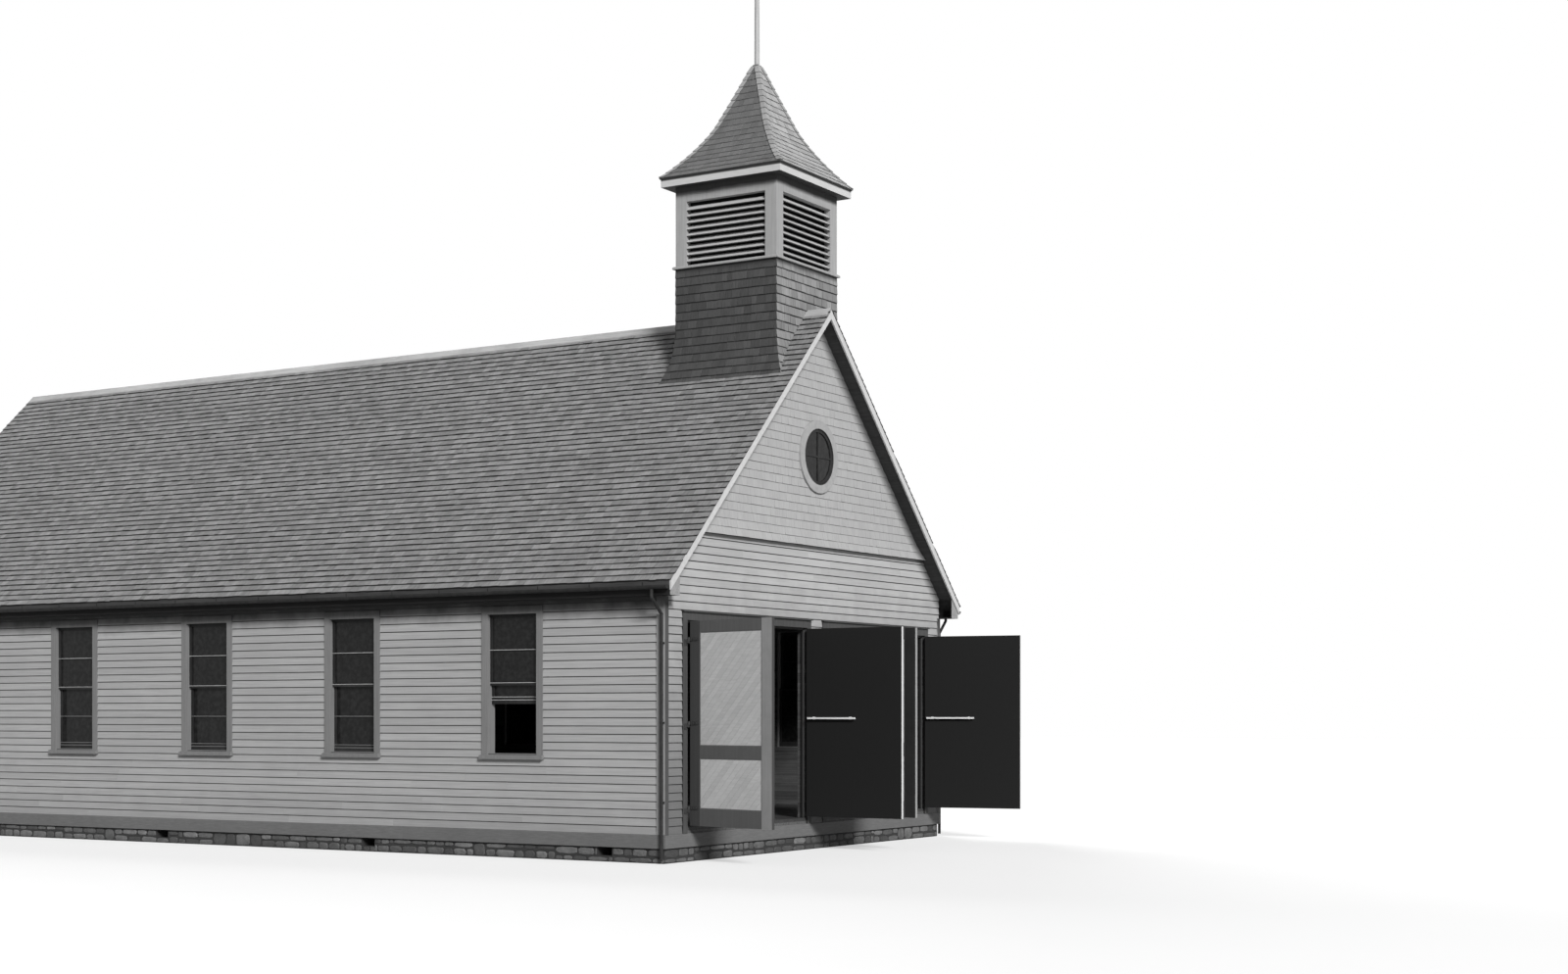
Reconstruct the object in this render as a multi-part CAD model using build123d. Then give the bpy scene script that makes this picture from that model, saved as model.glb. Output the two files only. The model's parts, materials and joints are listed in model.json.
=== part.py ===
from build123d import *
import math
import os

# Timber fire house about 1900: one storey, steep shingled roof, louvred cupola, two wide
# doorways with four side-hung leaves. Millimetres, +Z up. The front gable faces -Y.
# The shapes are made about the middle of the plan, and are saved with the origin at the foot of
# the front foundation wall, at its middle, on the lowest ground.

# Plan
building_width = 8230
building_length = 17560
wall_thickness = 150

# Levels above the lowest ground
foundation_top = 250
floor_thickness = 50
floor_top = 490
base_board_bottom = 210
base_board_height = 190
base_board_thickness = 25
base_board_wash = 10
eave_edge_height = 3910
skirt_height = 4670

# Foundation
foundation_width = 300
foundation_inset = 15
vent_width = 250
vent_height = 130
vent_count = 4
first_vent = 900

# Roof, both slopes at 45 degrees
eave_overhang = 250
rake_overhang = 280
roof_thickness = 75
ridge_board_width = 150
ridge_board_thickness = 22
rake_board_depth = 100
rake_board_thickness = 25
mitre_gap = 1
soffit_thickness = 18
fascia_thickness = 22
fascia_setback = 12
eave_soffit_level = 3700
gutter_radius = 50
gutter_wall = 3
gutter_drop = 80
downspout_radius = 24
downspout_sides = 16
downspout_from_corner = 10
downspout_gap = 12
downspout_outlet = 110
downspout_offset_drop = 330
downspout_foot = 40

# Doorways. Of the front's width that they leave free, this share stands between them.
doorway_width = 3290
centre_pier_share = 0.352
doorway_head = 3390
casing_width = 115
casing_thickness = 25
drip_height = 25
drip_edge = 8
drip_reach = 55
drip_ear = 10
stop_width = 30
stop_depth = 35
stop_gap = 7

# Door leaves
leaf_bottom = 510
leaf_top = 3375
leaf_thickness = 50
leaf_side_gap = 5
leaf_meeting_gap = 10
stile_width = 200
top_rail = 160
middle_rail = 175
middle_rail_bottom = 1455
bottom_rail = 242
panel_setback = 14

# Hinges: a strap with a rolled eye on the leaf, turning on a pintle on the casing
hinge_offset = 20
lower_hinge = 760
middle_hinge = 1943
upper_hinge = 3120
strap_length = 185
strap_point = 40
strap_end_height = 22
strap_height = 44
strap_thickness = 8
eye_radius = 14
eye_sides = 12
eye_neck = 40
eye_neck_depth = 6
pin_radius = 8
pin_clearance = 0.06
pin_end = 6
eye_gap = 1.5
lug_half = 11
lug_height = 34
pintle_web = 40
pintle_plate_length = 95
pintle_plate_start = 8
pintle_plate_thickness = 6
pintle_plate_rise = 20
pintle_plate_drop = 30

# Bars on the inner faces of two leaves
bar_height = 2010
bar_start = 45
bar_length = 825
bar_section = 26
bar_standoff = 30
bar_block_width = 32
bar_block_ear = 7
bar_block_near = 80
bar_block_far = 80

# Opening angle of each leaf at rest
outer_left_open = 104.0
inner_left_open = 90.5
inner_right_open = 97.0
outer_right_open = 100.0

# Windows
window_width = 930
window_bottom = 1495
window_top = 3535
window_casing_width = 90
window_count = 5
first_window = 2650
window_pitch = 3065
sill_height = 65
sill_wash = 14
sill_reach = 45
sill_ear = 15
sill_drop = 10
stool_thickness = 8
liner_thickness = 20
sash_thickness = 35
sash_clearance = 0.4
upper_sash_setback = 40
track_gap = 3
sash_stile = 45
meeting_rail = 42
lower_rail = 85
muntin_width = 22
glass_thickness = 4
open_sash_lift = 715

# Round gable window
round_centre_height = 6030
round_opening_radius = 430
round_casing_width = 130
round_casing_reach = 70
round_sash_width = 50
round_sash_setback = -50

# Shingle skin of the gables, swept out at its foot
cladding_thickness = 30
skirt_reach = 80
skirt_rise = 320
skirt_drop = 25

# Corner boards
corner_board_side_width = 115
corner_board_front_width = 65
corner_board_thickness = 25

# Cupola
cupola_setback = 1065
cupola_half = 915
cupola_wall = 110
cupola_deck = 60
cupola_shaft_rise = 690
cupola_shaft_height = 975
cupola_flare_height = 1000
cupola_flare_reach = 290
belfry_sill_height = 40
belfry_sill_reach = 40
belfry_sill_wash = 14
belfry_post = 200
belfry_height = 1260
belfry_head = 227
louvre_count = 9
louvre_depth = 120
louvre_thickness = 16
louvre_tilt = 40
louvre_setback = 4
cornice_half = 1080
cornice_height = 121
cornice_thickness = 30
cupola_eave_half = 1092
cupola_eave_edge = 22
cupola_sweep_half = 750
cupola_sweep_rise = 401
cupola_shoulder_half = 472
cupola_shoulder_rise = 829
cupola_crown_half = 240
cupola_crown_rise = 1384
cupola_roof_height = 1884
cupola_tip_half = 42
pole_radius = 42
pole_tip_radius = 28
pole_sides = 16
pole_length = 3370
pole_cap_radius = 45
pole_cap_height = 35

# How far a cutting shape runs past the faces that it cuts
past = 10

# Derived places
half_width = building_width / 2
half_length = building_length / 2
front_y = -half_length
rear_y = half_length
slope_root = math.sqrt(2)
roof_vertical = roof_thickness * slope_root
eave_x = half_width + eave_overhang
ridge_height = eave_edge_height + eave_x
ridge_underside = ridge_height - roof_vertical
rake_outer = half_length + rake_overhang
rake_inner = rake_outer - rake_board_thickness
base_board_top = base_board_bottom + base_board_height
end_inner_x = half_width - wall_thickness
cupola_y = front_y + cupola_setback
belfry_bottom = ridge_height + cupola_shaft_rise
belfry_top = belfry_bottom + belfry_height
cupola_flare_top = belfry_bottom - cupola_shaft_height
cupola_flare_foot = cupola_flare_top - cupola_flare_height
louvre_bottom = belfry_bottom + belfry_sill_height
louvre_top = belfry_top - belfry_head
cupola_roof_bottom = belfry_top + cornice_height
cupola_apex = cupola_roof_bottom + cupola_roof_height
doorway_centre = doorway_width / 2 + centre_pier_share * (half_width - doorway_width)
hinge_y = front_y - casing_thickness - hinge_offset
hinge_levels = (lower_hinge, middle_hinge, upper_hinge)
leaf_width = (doorway_width - 2 * leaf_side_gap - leaf_meeting_gap) / 2
sash_bottom = window_bottom + stool_thickness + sash_clearance
sash_top = window_top - liner_thickness - sash_clearance
sash_meeting = (sash_bottom + sash_top) / 2
lower_sash_setback = upper_sash_setback + sash_thickness + track_gap
origin_y = front_y + foundation_inset + foundation_width / 2


def block(x0, x1, y0, y1, z0, z1):
    size = Box(x1 - x0, y1 - y0, z1 - z0, align=(Align.MIN, Align.MIN, Align.MIN))
    return Pos(x0, y0, z0) * size


def upright(radius, z0, height):
    """Round bar that stands on z0 at the origin."""
    return Pos(0, 0, z0) * Cylinder(radius, height, align=(Align.CENTER, Align.CENTER, Align.MIN))


def prismY(points, y0, y1):
    outline = Wire.make_polygon([Vector(x, y0, z) for x, z in points], close=True)
    return extrude(Face(outline), amount=y1 - y0, dir=(0, 1, 0))


def prismX(points, x0, x1):
    outline = Wire.make_polygon([Vector(x0, y, z) for y, z in points], close=True)
    return extrude(Face(outline), amount=x1 - x0, dir=(1, 0, 0))


def bothEnds(shape):
    return [shape, Rot(0, 0, 180) * shape]


def bothSides(shape):
    return [shape, mirror(shape, about=Plane.YZ)]


def allCorners(shape):
    return bothEnds(shape) + bothEnds(mirror(shape, about=Plane.YZ))


def save(name, *shapes):
    solids = [solid for shape in shapes for solid in shape.solids()]
    pieces = [Pos(0, -origin_y, 0) * solid for solid in solids]
    whole = pieces[0] if len(pieces) == 1 else Compound(pieces)
    export_step(whole, "parts/" + name + ".step")


def roofTopAt(x):
    return ridge_height - abs(x)


def roofUnderAt(x):
    return roofTopAt(x) - roof_vertical


# Foundation and floor

def foundationSide():
    """Rubble wall under the left wall, with the vents of the crawl space."""
    outer_x = half_width - foundation_inset
    outer_y = half_length - foundation_inset
    wall = block(-outer_x, -outer_x + foundation_width, -outer_y, outer_y, 0, foundation_top)
    spacing = building_length / vent_count
    for k in range(vent_count):
        y = front_y + first_vent + k * spacing
        wall -= block(-outer_x - past, -outer_x + foundation_width + past, y, y + vent_width,
                      base_board_bottom - vent_height, base_board_bottom)
    return wall


def foundationEnd():
    inner_x = half_width - foundation_inset - foundation_width
    outer_y = half_length - foundation_inset
    return block(-inner_x, inner_x, -outer_y, -outer_y + foundation_width, 0, foundation_top)


def floorFrame():
    top = floor_top - floor_thickness
    frame = block(-half_width, half_width, front_y, rear_y, foundation_top, top)
    frame -= block(-end_inner_x, end_inner_x, front_y + wall_thickness, rear_y - wall_thickness,
                   foundation_top - past, top + past)
    return frame


def floor():
    return block(-half_width, half_width, front_y, rear_y, floor_top - floor_thickness, floor_top)


def baseBoards():
    """Band round the foot of the walls, with a sloped upper edge that sheds water."""
    reach = base_board_thickness
    ring = block(-half_width - reach, half_width + reach, front_y - reach, rear_y + reach,
                 base_board_bottom, base_board_top)
    upper_edges = ring.edges().filter_by_position(Axis.Z, base_board_top, base_board_top)
    ring = chamfer(upper_edges, base_board_wash)
    ring -= block(-half_width, half_width, front_y, rear_y, base_board_bottom - past,
                  base_board_top + past)
    return ring


# Walls

def windowPlaces():
    return [front_y + first_window + k * window_pitch for k in range(window_count)]


def sideWallBase():
    return block(-half_width, -end_inner_x, front_y, rear_y, floor_top, window_bottom)


def sideWallPiers():
    edges = [front_y]
    for y in windowPlaces():
        edges += [y - window_width / 2, y + window_width / 2]
    edges.append(rear_y)
    return [
        block(-half_width, -end_inner_x, start, end, window_bottom, window_top)
        for start, end in zip(edges[0::2], edges[1::2])
    ]


def sideWallHead():
    return prismY([
        (-half_width, window_top), (-end_inner_x, window_top),
        (-end_inner_x, roofUnderAt(end_inner_x)), (-half_width, roofUnderAt(half_width)),
    ], front_y, rear_y)


def endWallHead(bottom, y0, y1):
    """End wall from its openings up to the shingled gable, under the two slopes."""
    lean = roofUnderAt(end_inner_x)
    shoulder = ridge_underside - skirt_height
    return prismY([
        (-end_inner_x, bottom), (end_inner_x, bottom), (end_inner_x, lean),
        (shoulder, skirt_height), (-shoulder, skirt_height), (-end_inner_x, lean),
    ], y0, y1)


def endPiers(opening_width, bottom, top, y0, y1):
    inside = doorway_centre - opening_width / 2
    outside = doorway_centre + opening_width / 2
    return [
        block(-end_inner_x, -outside, y0, y1, bottom, top),
        block(-inside, inside, y0, y1, bottom, top),
        block(outside, end_inner_x, y0, y1, bottom, top),
    ]


def roundCut(radius, y0, y1):
    drum = Cylinder(radius, y1 - y0, align=(Align.CENTER, Align.CENTER, Align.MIN))
    return Pos(0, y0, round_centre_height) * (Rot(-90, 0, 0) * drum)


def gable(y0, y1):
    half = ridge_underside - skirt_height
    return prismY([(-half, skirt_height), (half, skirt_height), (0, ridge_underside)], y0, y1)


def gableShingling():
    """Shingle skin of the front gable, swept out at its foot over the boards below."""
    top = ridge_underside - soffit_thickness * slope_root
    foot = skirt_height - skirt_drop
    outer = front_y - cladding_thickness
    lip = Vector(0, front_y - skirt_reach, foot)
    bend = Vector(0, outer, skirt_height + skirt_rise)
    outline = Wire([
        Edge.make_line(Vector(0, front_y, foot), lip),
        Edge.make_tangent_arc(bend, Vector(0, 0, -1), lip),
        Edge.make_line(bend, Vector(0, outer, top)),
        Edge.make_line(Vector(0, outer, top), Vector(0, front_y, top)),
        Edge.make_line(Vector(0, front_y, top), Vector(0, front_y, foot)),
    ])
    half = top - foot
    run = extrude(Pos(-half, 0, 0) * Face(outline), amount=2 * half, dir=(1, 0, 0))
    return run & prismY([(-half, foot), (half, foot), (0, top)], front_y - 2 * skirt_reach, front_y + past)


def cornerBoards():
    """One corner of two boards that meet, from the base board to the boxed eave."""
    t = corner_board_thickness
    side = block(-half_width - t, -half_width, front_y - t, front_y + corner_board_side_width,
                 base_board_top, eave_soffit_level)
    front = block(-half_width, -half_width + corner_board_front_width, front_y - t, front_y,
                  base_board_top, eave_soffit_level)
    return side + front


# Roof

def roofSlope():
    return prismY([
        (-eave_x, roofUnderAt(eave_x)), (-eave_x, eave_edge_height),
        (0, ridge_height), (0, ridge_underside),
    ], -rake_inner, rake_inner)


def ridgeCap():
    """Two boards nailed along the ridge, in front of the cupola and again behind it."""
    run = ridge_board_width / slope_root
    lift = ridge_board_thickness * slope_root
    mitre = -mitre_gap / 2
    outline = [
        (-run, roofTopAt(run)), (mitre, roofTopAt(mitre)),
        (mitre, roofTopAt(mitre) + lift), (-run, roofTopAt(run) + lift),
    ]
    ahead = prismY(outline, -rake_inner, cupola_y - cupola_half)
    behind = prismY(outline, cupola_y + cupola_half, rake_inner)
    return bothSides(ahead) + bothSides(behind)


def rakeBoard():
    """Front left rake board, plumb cut at the ridge and at the eave."""
    depth = rake_board_depth * slope_root
    mitre = -mitre_gap / 2
    return prismY([
        (-eave_x, eave_edge_height - depth), (-eave_x, eave_edge_height),
        (mitre, roofTopAt(mitre)), (mitre, roofTopAt(mitre) - depth),
    ], -rake_outer, -rake_inner)


def rakeSoffit():
    """Boarding under the left half of the front overhang, from the boxed eave to the ridge."""
    lift = soffit_thickness * slope_root
    mitre = -mitre_gap / 2
    foot = -half_width
    return prismY([
        (foot, roofUnderAt(foot)), (mitre, roofUnderAt(mitre)),
        (mitre, roofUnderAt(mitre) - lift), (foot, roofUnderAt(foot) - lift),
    ], -rake_inner, front_y)


def eaveBox():
    """Boxed eave: fascia, level soffit and the two boards that close its ends."""
    outer = -eave_x + fascia_setback
    inner = outer + fascia_thickness
    soffit_top = eave_soffit_level + soffit_thickness
    face = prismY([
        (outer, eave_soffit_level), (inner, eave_soffit_level),
        (inner, roofUnderAt(inner)), (outer, roofUnderAt(outer)),
    ], -rake_inner, rake_inner)
    level = block(inner, -half_width, -rake_inner, rake_inner, eave_soffit_level, soffit_top)
    end = prismY([
        (inner, soffit_top), (-half_width, soffit_top),
        (-half_width, roofUnderAt(half_width)), (inner, roofUnderAt(inner)),
    ], -rake_inner, -rake_inner + soffit_thickness)
    return face + level + end + mirror(end, about=Plane.XZ)


gutter_x = -eave_x - gutter_radius
gutter_z = eave_edge_height - gutter_drop


def gutter():
    """Half-round gutter hung along the left eave, with closed ends."""
    length = 2 * rake_inner
    tube = Cylinder(gutter_radius, length)
    bore = Cylinder(gutter_radius - gutter_wall, length - 2 * gutter_wall)
    upper = block(-2 * gutter_radius, 2 * gutter_radius, -length, length, 0, 2 * gutter_radius)
    return Pos(gutter_x, 0, gutter_z) * (Rot(90, 0, 0) * (tube - bore) - upper)


def downspout():
    """Tin pipe of many flats with two mitred elbows, from the gutter back to the corner and down."""
    top = gutter_z - gutter_radius
    wall_x = -half_width - corner_board_thickness - downspout_gap - downspout_radius
    y = front_y + downspout_from_corner
    path = Polyline(
        (gutter_x, y, top), (gutter_x, y, top - downspout_outlet),
        (wall_x, y, top - downspout_offset_drop), (wall_x, y, downspout_foot),
    )
    start = Plane(origin=(gutter_x, y, top), z_dir=(0, 0, -1))
    section = start * RegularPolygon(downspout_radius, downspout_sides)
    return sweep(section, path=path, transition=Transition.RIGHT)


# Windows, made on the left wall at y = 0 and then placed

def windowFrame():
    """Outside casing, box liner, sloped sill and inner stool of one window."""
    face = -half_width
    half = window_width / 2
    outer = half + window_casing_width
    inner = half - liner_thickness
    foot = window_bottom - sill_drop
    casing = block(face - casing_thickness, face, -outer, outer, foot,
                   window_top + window_casing_width)
    casing -= block(face - casing_thickness - past, face, -inner, inner, foot - past,
                    window_top - liner_thickness)
    liner = block(face, face + wall_thickness, -half, half, window_bottom, window_top)
    liner -= block(face, face + wall_thickness + past, -inner, inner, window_bottom - past,
                   window_top - liner_thickness)
    reach = casing_thickness + sill_reach
    sill = prismY([
        (face, foot - sill_height), (face, foot), (face - casing_thickness, foot),
        (face - reach, foot - sill_wash), (face - reach, foot - sill_height),
    ], -outer - sill_ear, outer + sill_ear)
    stool = block(face, face + wall_thickness, -inner, inner, window_bottom,
                  window_bottom + stool_thickness)
    return casing + liner + sill + stool


def sash(z0, z1, setback, lower_rail_height, upper_rail_height):
    """A wooden sash with one level bar, and its two panes of glass."""
    face = -half_width + setback
    half = window_width / 2 - liner_thickness - sash_clearance
    inner = half - sash_stile
    light_bottom = z0 + lower_rail_height
    light_top = z1 - upper_rail_height
    middle = (light_bottom + light_top) / 2
    lights = [(light_bottom, middle - muntin_width / 2), (middle + muntin_width / 2, light_top)]
    wood = block(face, face + sash_thickness, -half, half, z0, z1)
    pane_x = face + (sash_thickness - glass_thickness) / 2
    panes = []
    for low, high in lights:
        wood -= block(face - past, face + sash_thickness + past, -inner, inner, low, high)
        panes.append(block(pane_x, pane_x + glass_thickness, -inner, inner, low, high))
    return [wood] + panes


def upperSash():
    return sash(sash_meeting - meeting_rail / 2, sash_top, upper_sash_setback, meeting_rail, sash_stile)


def lowerSash(lift):
    return sash(sash_bottom + lift, sash_meeting + meeting_rail / 2 + lift, lower_sash_setback,
                lower_rail, meeting_rail)


def allWindows():
    """Frames, sashes and panes of every window. The left wall's first lower sash is raised."""
    frame = windowFrame()
    upper = upperSash()
    shut = lowerSash(0)
    raised = lowerSash(open_sash_lift)
    frames, sashes, panes = [], [], []

    def place(lower, where):
        frames.append(where(frame))
        sashes.extend([where(upper[0]), where(lower[0])])
        panes.extend(where(pane) for pane in upper[1:] + lower[1:])

    for k, y in enumerate(windowPlaces()):
        place(raised if k == 0 else shut, lambda s: Pos(0, y, 0) * s)
        place(shut, lambda s: mirror(Pos(0, y, 0) * s, about=Plane.YZ))
    for x in (-doorway_centre, doorway_centre):
        place(shut, lambda s: Pos(x, rear_y - half_width, 0) * (Rot(0, 0, -90) * s))
    return frames, sashes, panes


# Round window

def ringY(outer, inner, y0, y1):
    return roundCut(outer, y0, y1) - roundCut(inner, y0 - past, y1 + past)


def roundCasing():
    return ringY(round_opening_radius + round_casing_width, round_opening_radius,
                 front_y - round_casing_reach, front_y)


def glazingBars(reach, y0, y1):
    half = muntin_width / 2
    level = block(-reach, reach, y0, y1, round_centre_height - half, round_centre_height + half)
    plumb = block(-half, half, y0, y1, round_centre_height - reach, round_centre_height + reach)
    return level + plumb


def roundSash():
    y0 = front_y + round_sash_setback
    y1 = y0 + sash_thickness
    radius = round_opening_radius - sash_clearance
    inner = radius - round_sash_width
    bars = glazingBars(radius, y0, y1) & roundCut(inner + past, y0, y1)
    return ringY(radius, inner, y0, y1) + bars


def roundPanes():
    y0 = front_y + round_sash_setback + (sash_thickness - glass_thickness) / 2
    inner = round_opening_radius - sash_clearance - round_sash_width
    return roundCut(inner, y0, y0 + glass_thickness) - glazingBars(2 * inner, y0 - past, y0 + 2 * past)


# Doorways

def doorCasing(centre):
    half = doorway_width / 2
    x0 = centre - half - casing_width
    x1 = centre + half + casing_width
    front = front_y - casing_thickness
    top = doorway_head + casing_width
    left = block(x0, x0 + casing_width, front, front_y, base_board_top, doorway_head)
    right = block(x1 - casing_width, x1, front, front_y, base_board_top, doorway_head)
    head = block(x0, x1, front, front_y, doorway_head, top)
    drip = prismX([
        (front_y, top), (front_y - drip_reach, top), (front_y - drip_reach, top + drip_edge),
        (front_y, top + drip_height),
    ], x0 - drip_ear, x1 + drip_ear)
    return left + right + head + drip


def doorStops(centre):
    """Stops behind the leaves, on both jambs and under the head."""
    half = doorway_width / 2
    near = front_y - casing_thickness + leaf_thickness + stop_gap
    far = near + stop_depth
    outer = block(centre - half, centre + half, near, far, floor_top, doorway_head)
    inner = block(centre - half + stop_width, centre + half - stop_width, near - past, far + past,
                  floor_top - past, doorway_head - stop_width)
    return outer - inner


def pintle(level):
    """Frame half of a hinge at the origin: a plate on the casing, a lug and the pin."""
    eye_bottom = level - strap_height / 2
    lug_top = eye_bottom - eye_gap
    lug_bottom = lug_top - lug_height
    plate_y = hinge_offset - pintle_plate_thickness
    lug = block(-lug_half, lug_half, -lug_half, lug_half, lug_bottom, lug_top)
    web = block(-pintle_web, -pintle_plate_start, -pintle_plate_start, plate_y, lug_bottom, lug_top)
    plate = block(-pintle_plate_length, -pintle_plate_start, plate_y, hinge_offset,
                  lug_bottom - pintle_plate_drop, lug_top + pintle_plate_rise)
    pin = upright(pin_radius, lug_top, eye_gap + strap_height + pin_end)
    return lug + web + plate + pin


def pintles():
    found = []
    for centre in (-doorway_centre, doorway_centre):
        for level in hinge_levels:
            left = pintle(level)
            right = mirror(left, about=Plane.YZ)
            found.append(Pos(centre - doorway_width / 2, hinge_y, 0) * left)
            found.append(Pos(centre + doorway_width / 2, hinge_y, 0) * right)
    return found


# A leaf is made shut, with its hinge axis at the origin and its free edge towards +X

def leafPanels(y0, y1):
    x0 = leaf_side_gap + stile_width
    x1 = leaf_side_gap + leaf_width - stile_width
    return [
        block(x0, x1, y0, y1, leaf_bottom + bottom_rail, middle_rail_bottom),
        block(x0, x1, y0, y1, middle_rail_bottom + middle_rail, leaf_top - top_rail),
    ]


def leafFrame():
    """Two stiles and three rails. The inner face is flush with the panels."""
    back = hinge_offset + leaf_thickness
    body = block(leaf_side_gap, leaf_side_gap + leaf_width, hinge_offset, back, leaf_bottom, leaf_top)
    for opening in leafPanels(hinge_offset - past, back + past):
        body -= opening
    return body


def leafStrap(level):
    """Pointed strap on the outer face, with an eye bored for the pin."""
    low = level - strap_height / 2
    high = level + strap_height / 2
    start = strap_length - strap_point
    blade = prismY([
        (leaf_side_gap, low), (start, low), (strap_length, level - strap_end_height / 2),
        (strap_length, level + strap_end_height / 2), (start, high), (leaf_side_gap, high),
    ], hinge_offset - strap_thickness, hinge_offset)
    blade_y = hinge_offset - strap_thickness
    neck = block(0, eye_neck, blade_y - eye_neck_depth, blade_y, low, high)
    neck += block(0, leaf_side_gap, blade_y, eye_radius, low, high)
    bore = upright(pin_radius + pin_clearance, low - past, strap_height + 2 * past)
    roll = RegularPolygon(eye_radius, eye_sides, major_radius=False, rotation=180 / eye_sides)
    eye = Pos(0, 0, low) * extrude(roll, amount=strap_height)
    return eye + neck + blade - bore


def leafBar():
    """Level bar on the inner face, held off it by two blocks."""
    y0 = hinge_offset + leaf_thickness
    y1 = y0 + bar_standoff
    end = bar_start + bar_length
    low = bar_height - bar_section / 2
    high = bar_height + bar_section / 2
    bar = block(bar_start, end, y1, y1 + bar_section, low, high)
    for x in (bar_start + bar_block_near, end - bar_block_far - bar_block_width):
        bar += block(x, x + bar_block_width, y0, y1, low - bar_block_ear, high + bar_block_ear)
    return bar


def placedLeaf(shapes, centre, side, angle):
    """Put shut leaf pieces on their hinge line and swing them out to their angle at rest."""
    x = centre + side * doorway_width / 2
    placed = []
    for shape in shapes:
        handed = shape if side < 0 else mirror(shape, about=Plane.YZ)
        placed.append(Pos(x, hinge_y, 0) * (Rot(0, 0, side * angle) * handed))
    return placed


# Cupola

def squareFromProfile(right_edges, low, high):
    """Solid of square plan. Its four sides follow one outline, given as its right-hand edges."""
    half_low, z_low = low
    half_high, z_high = high
    edges = list(right_edges) + [edge.mirror(Plane.YZ) for edge in right_edges]
    edges.append(Edge.make_line(Vector(-half_low, 0, z_low), Vector(half_low, 0, z_low)))
    edges.append(Edge.make_line(Vector(-half_high, 0, z_high), Vector(half_high, 0, z_high)))
    face = Face(Wire(edges))
    span = 3 * max(half_low, half_high)
    along_y = extrude(Pos(0, -span / 2, 0) * face, amount=span, dir=(0, 1, 0))
    return along_y & (Rot(0, 0, 90) * along_y)


def cupolaBase():
    """Shingled shaft coped over the ridge, with its foot swept out along the slopes."""
    foot = (cupola_half + cupola_flare_reach, cupola_flare_foot)
    bend = (cupola_half, cupola_flare_top)
    top = (cupola_half, belfry_bottom)
    sweep_out = Edge.make_tangent_arc(Vector(bend[0], 0, bend[1]), Vector(0, 0, -1),
                                      Vector(foot[0], 0, foot[1]))
    side = Edge.make_line(Vector(bend[0], 0, bend[1]), Vector(top[0], 0, top[1]))
    inner = cupola_half - cupola_wall
    shaft = squareFromProfile([sweep_out, side], foot, top)
    shaft -= block(-inner, inner, -inner, inner, cupola_flare_foot - past, belfry_bottom - cupola_deck)
    span = 2 * cupola_half
    below = prismY([(-span, roofTopAt(span)), (span, roofTopAt(span)), (0, ridge_height)], -span, span)
    return Pos(0, cupola_y, 0) * (shaft - below)


def belfrySill():
    half = cupola_half + belfry_sill_reach
    plate = block(-half, half, -half, half, belfry_bottom, louvre_bottom)
    upper_edges = plate.edges().filter_by_position(Axis.Z, louvre_bottom, louvre_bottom)
    return Pos(0, cupola_y, 0) * chamfer(upper_edges, belfry_sill_wash)


def belfryFrame():
    """Four corner posts joined by the head over the louvres."""
    half = cupola_half
    inner = half - belfry_post
    room = half - cupola_wall
    frame = block(-half, half, -half, half, louvre_bottom, belfry_top)
    frame -= block(-room, room, -room, room, louvre_bottom - past, belfry_top + past)
    frame -= block(-half - past, half + past, -inner, inner, louvre_bottom - past, louvre_top)
    frame -= block(-inner, inner, -half - past, half + past, louvre_bottom - past, louvre_top)
    return Pos(0, cupola_y, 0) * frame


def louvres():
    """Sloped blades between the posts on all four faces."""
    inner = cupola_half - belfry_post
    pitch = (louvre_top - louvre_bottom) / (louvre_count + 1)
    blade = Rot(0, -louvre_tilt, 0) * Box(louvre_depth, 2 * inner, louvre_thickness)
    blade = Pos(-cupola_half + cupola_wall / 2, 0, 0) * blade
    blade &= block(-cupola_half + louvre_setback, -cupola_half + cupola_wall, -inner, inner, -pitch, pitch)
    return [
        Pos(0, cupola_y, louvre_bottom + (k + 1) * pitch) * (Rot(0, 0, 90 * turn) * blade)
        for k in range(louvre_count) for turn in range(4)
    ]


def cornice():
    """Fascia and level soffit under the cupola roof."""
    soffit_top = belfry_top + cornice_thickness
    inner = cornice_half - cornice_thickness
    eye = cupola_half - cupola_wall
    ring = block(-cornice_half, cornice_half, -cornice_half, cornice_half, belfry_top, cupola_roof_bottom)
    ring -= block(-inner, inner, -inner, inner, soffit_top, cupola_roof_bottom + past)
    ring -= block(-eye, eye, -eye, eye, belfry_top - past, soffit_top + past)
    return Pos(0, cupola_y, 0) * ring


def cupolaRoof():
    """Bell-cast roof: the slopes sweep out below the shoulder and swell a little above it."""
    def corner(half, rise):
        return Vector(half, 0, cupola_roof_bottom + rise)

    eave = corner(cupola_eave_half, cupola_eave_edge)
    sweep = corner(cupola_sweep_half, cupola_sweep_rise)
    shoulder = corner(cupola_shoulder_half, cupola_shoulder_rise)
    crown = corner(cupola_crown_half, cupola_crown_rise)
    tip = corner(cupola_tip_half, cupola_roof_height)
    right = [
        Edge.make_line(corner(cupola_eave_half, 0), eave),
        Edge.make_three_point_arc(eave, sweep, shoulder),
        Edge.make_three_point_arc(shoulder, crown, tip),
    ]
    low = (cupola_eave_half, cupola_roof_bottom)
    return Pos(0, cupola_y, 0) * squareFromProfile(right, low, (cupola_tip_half, cupola_apex))


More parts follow.
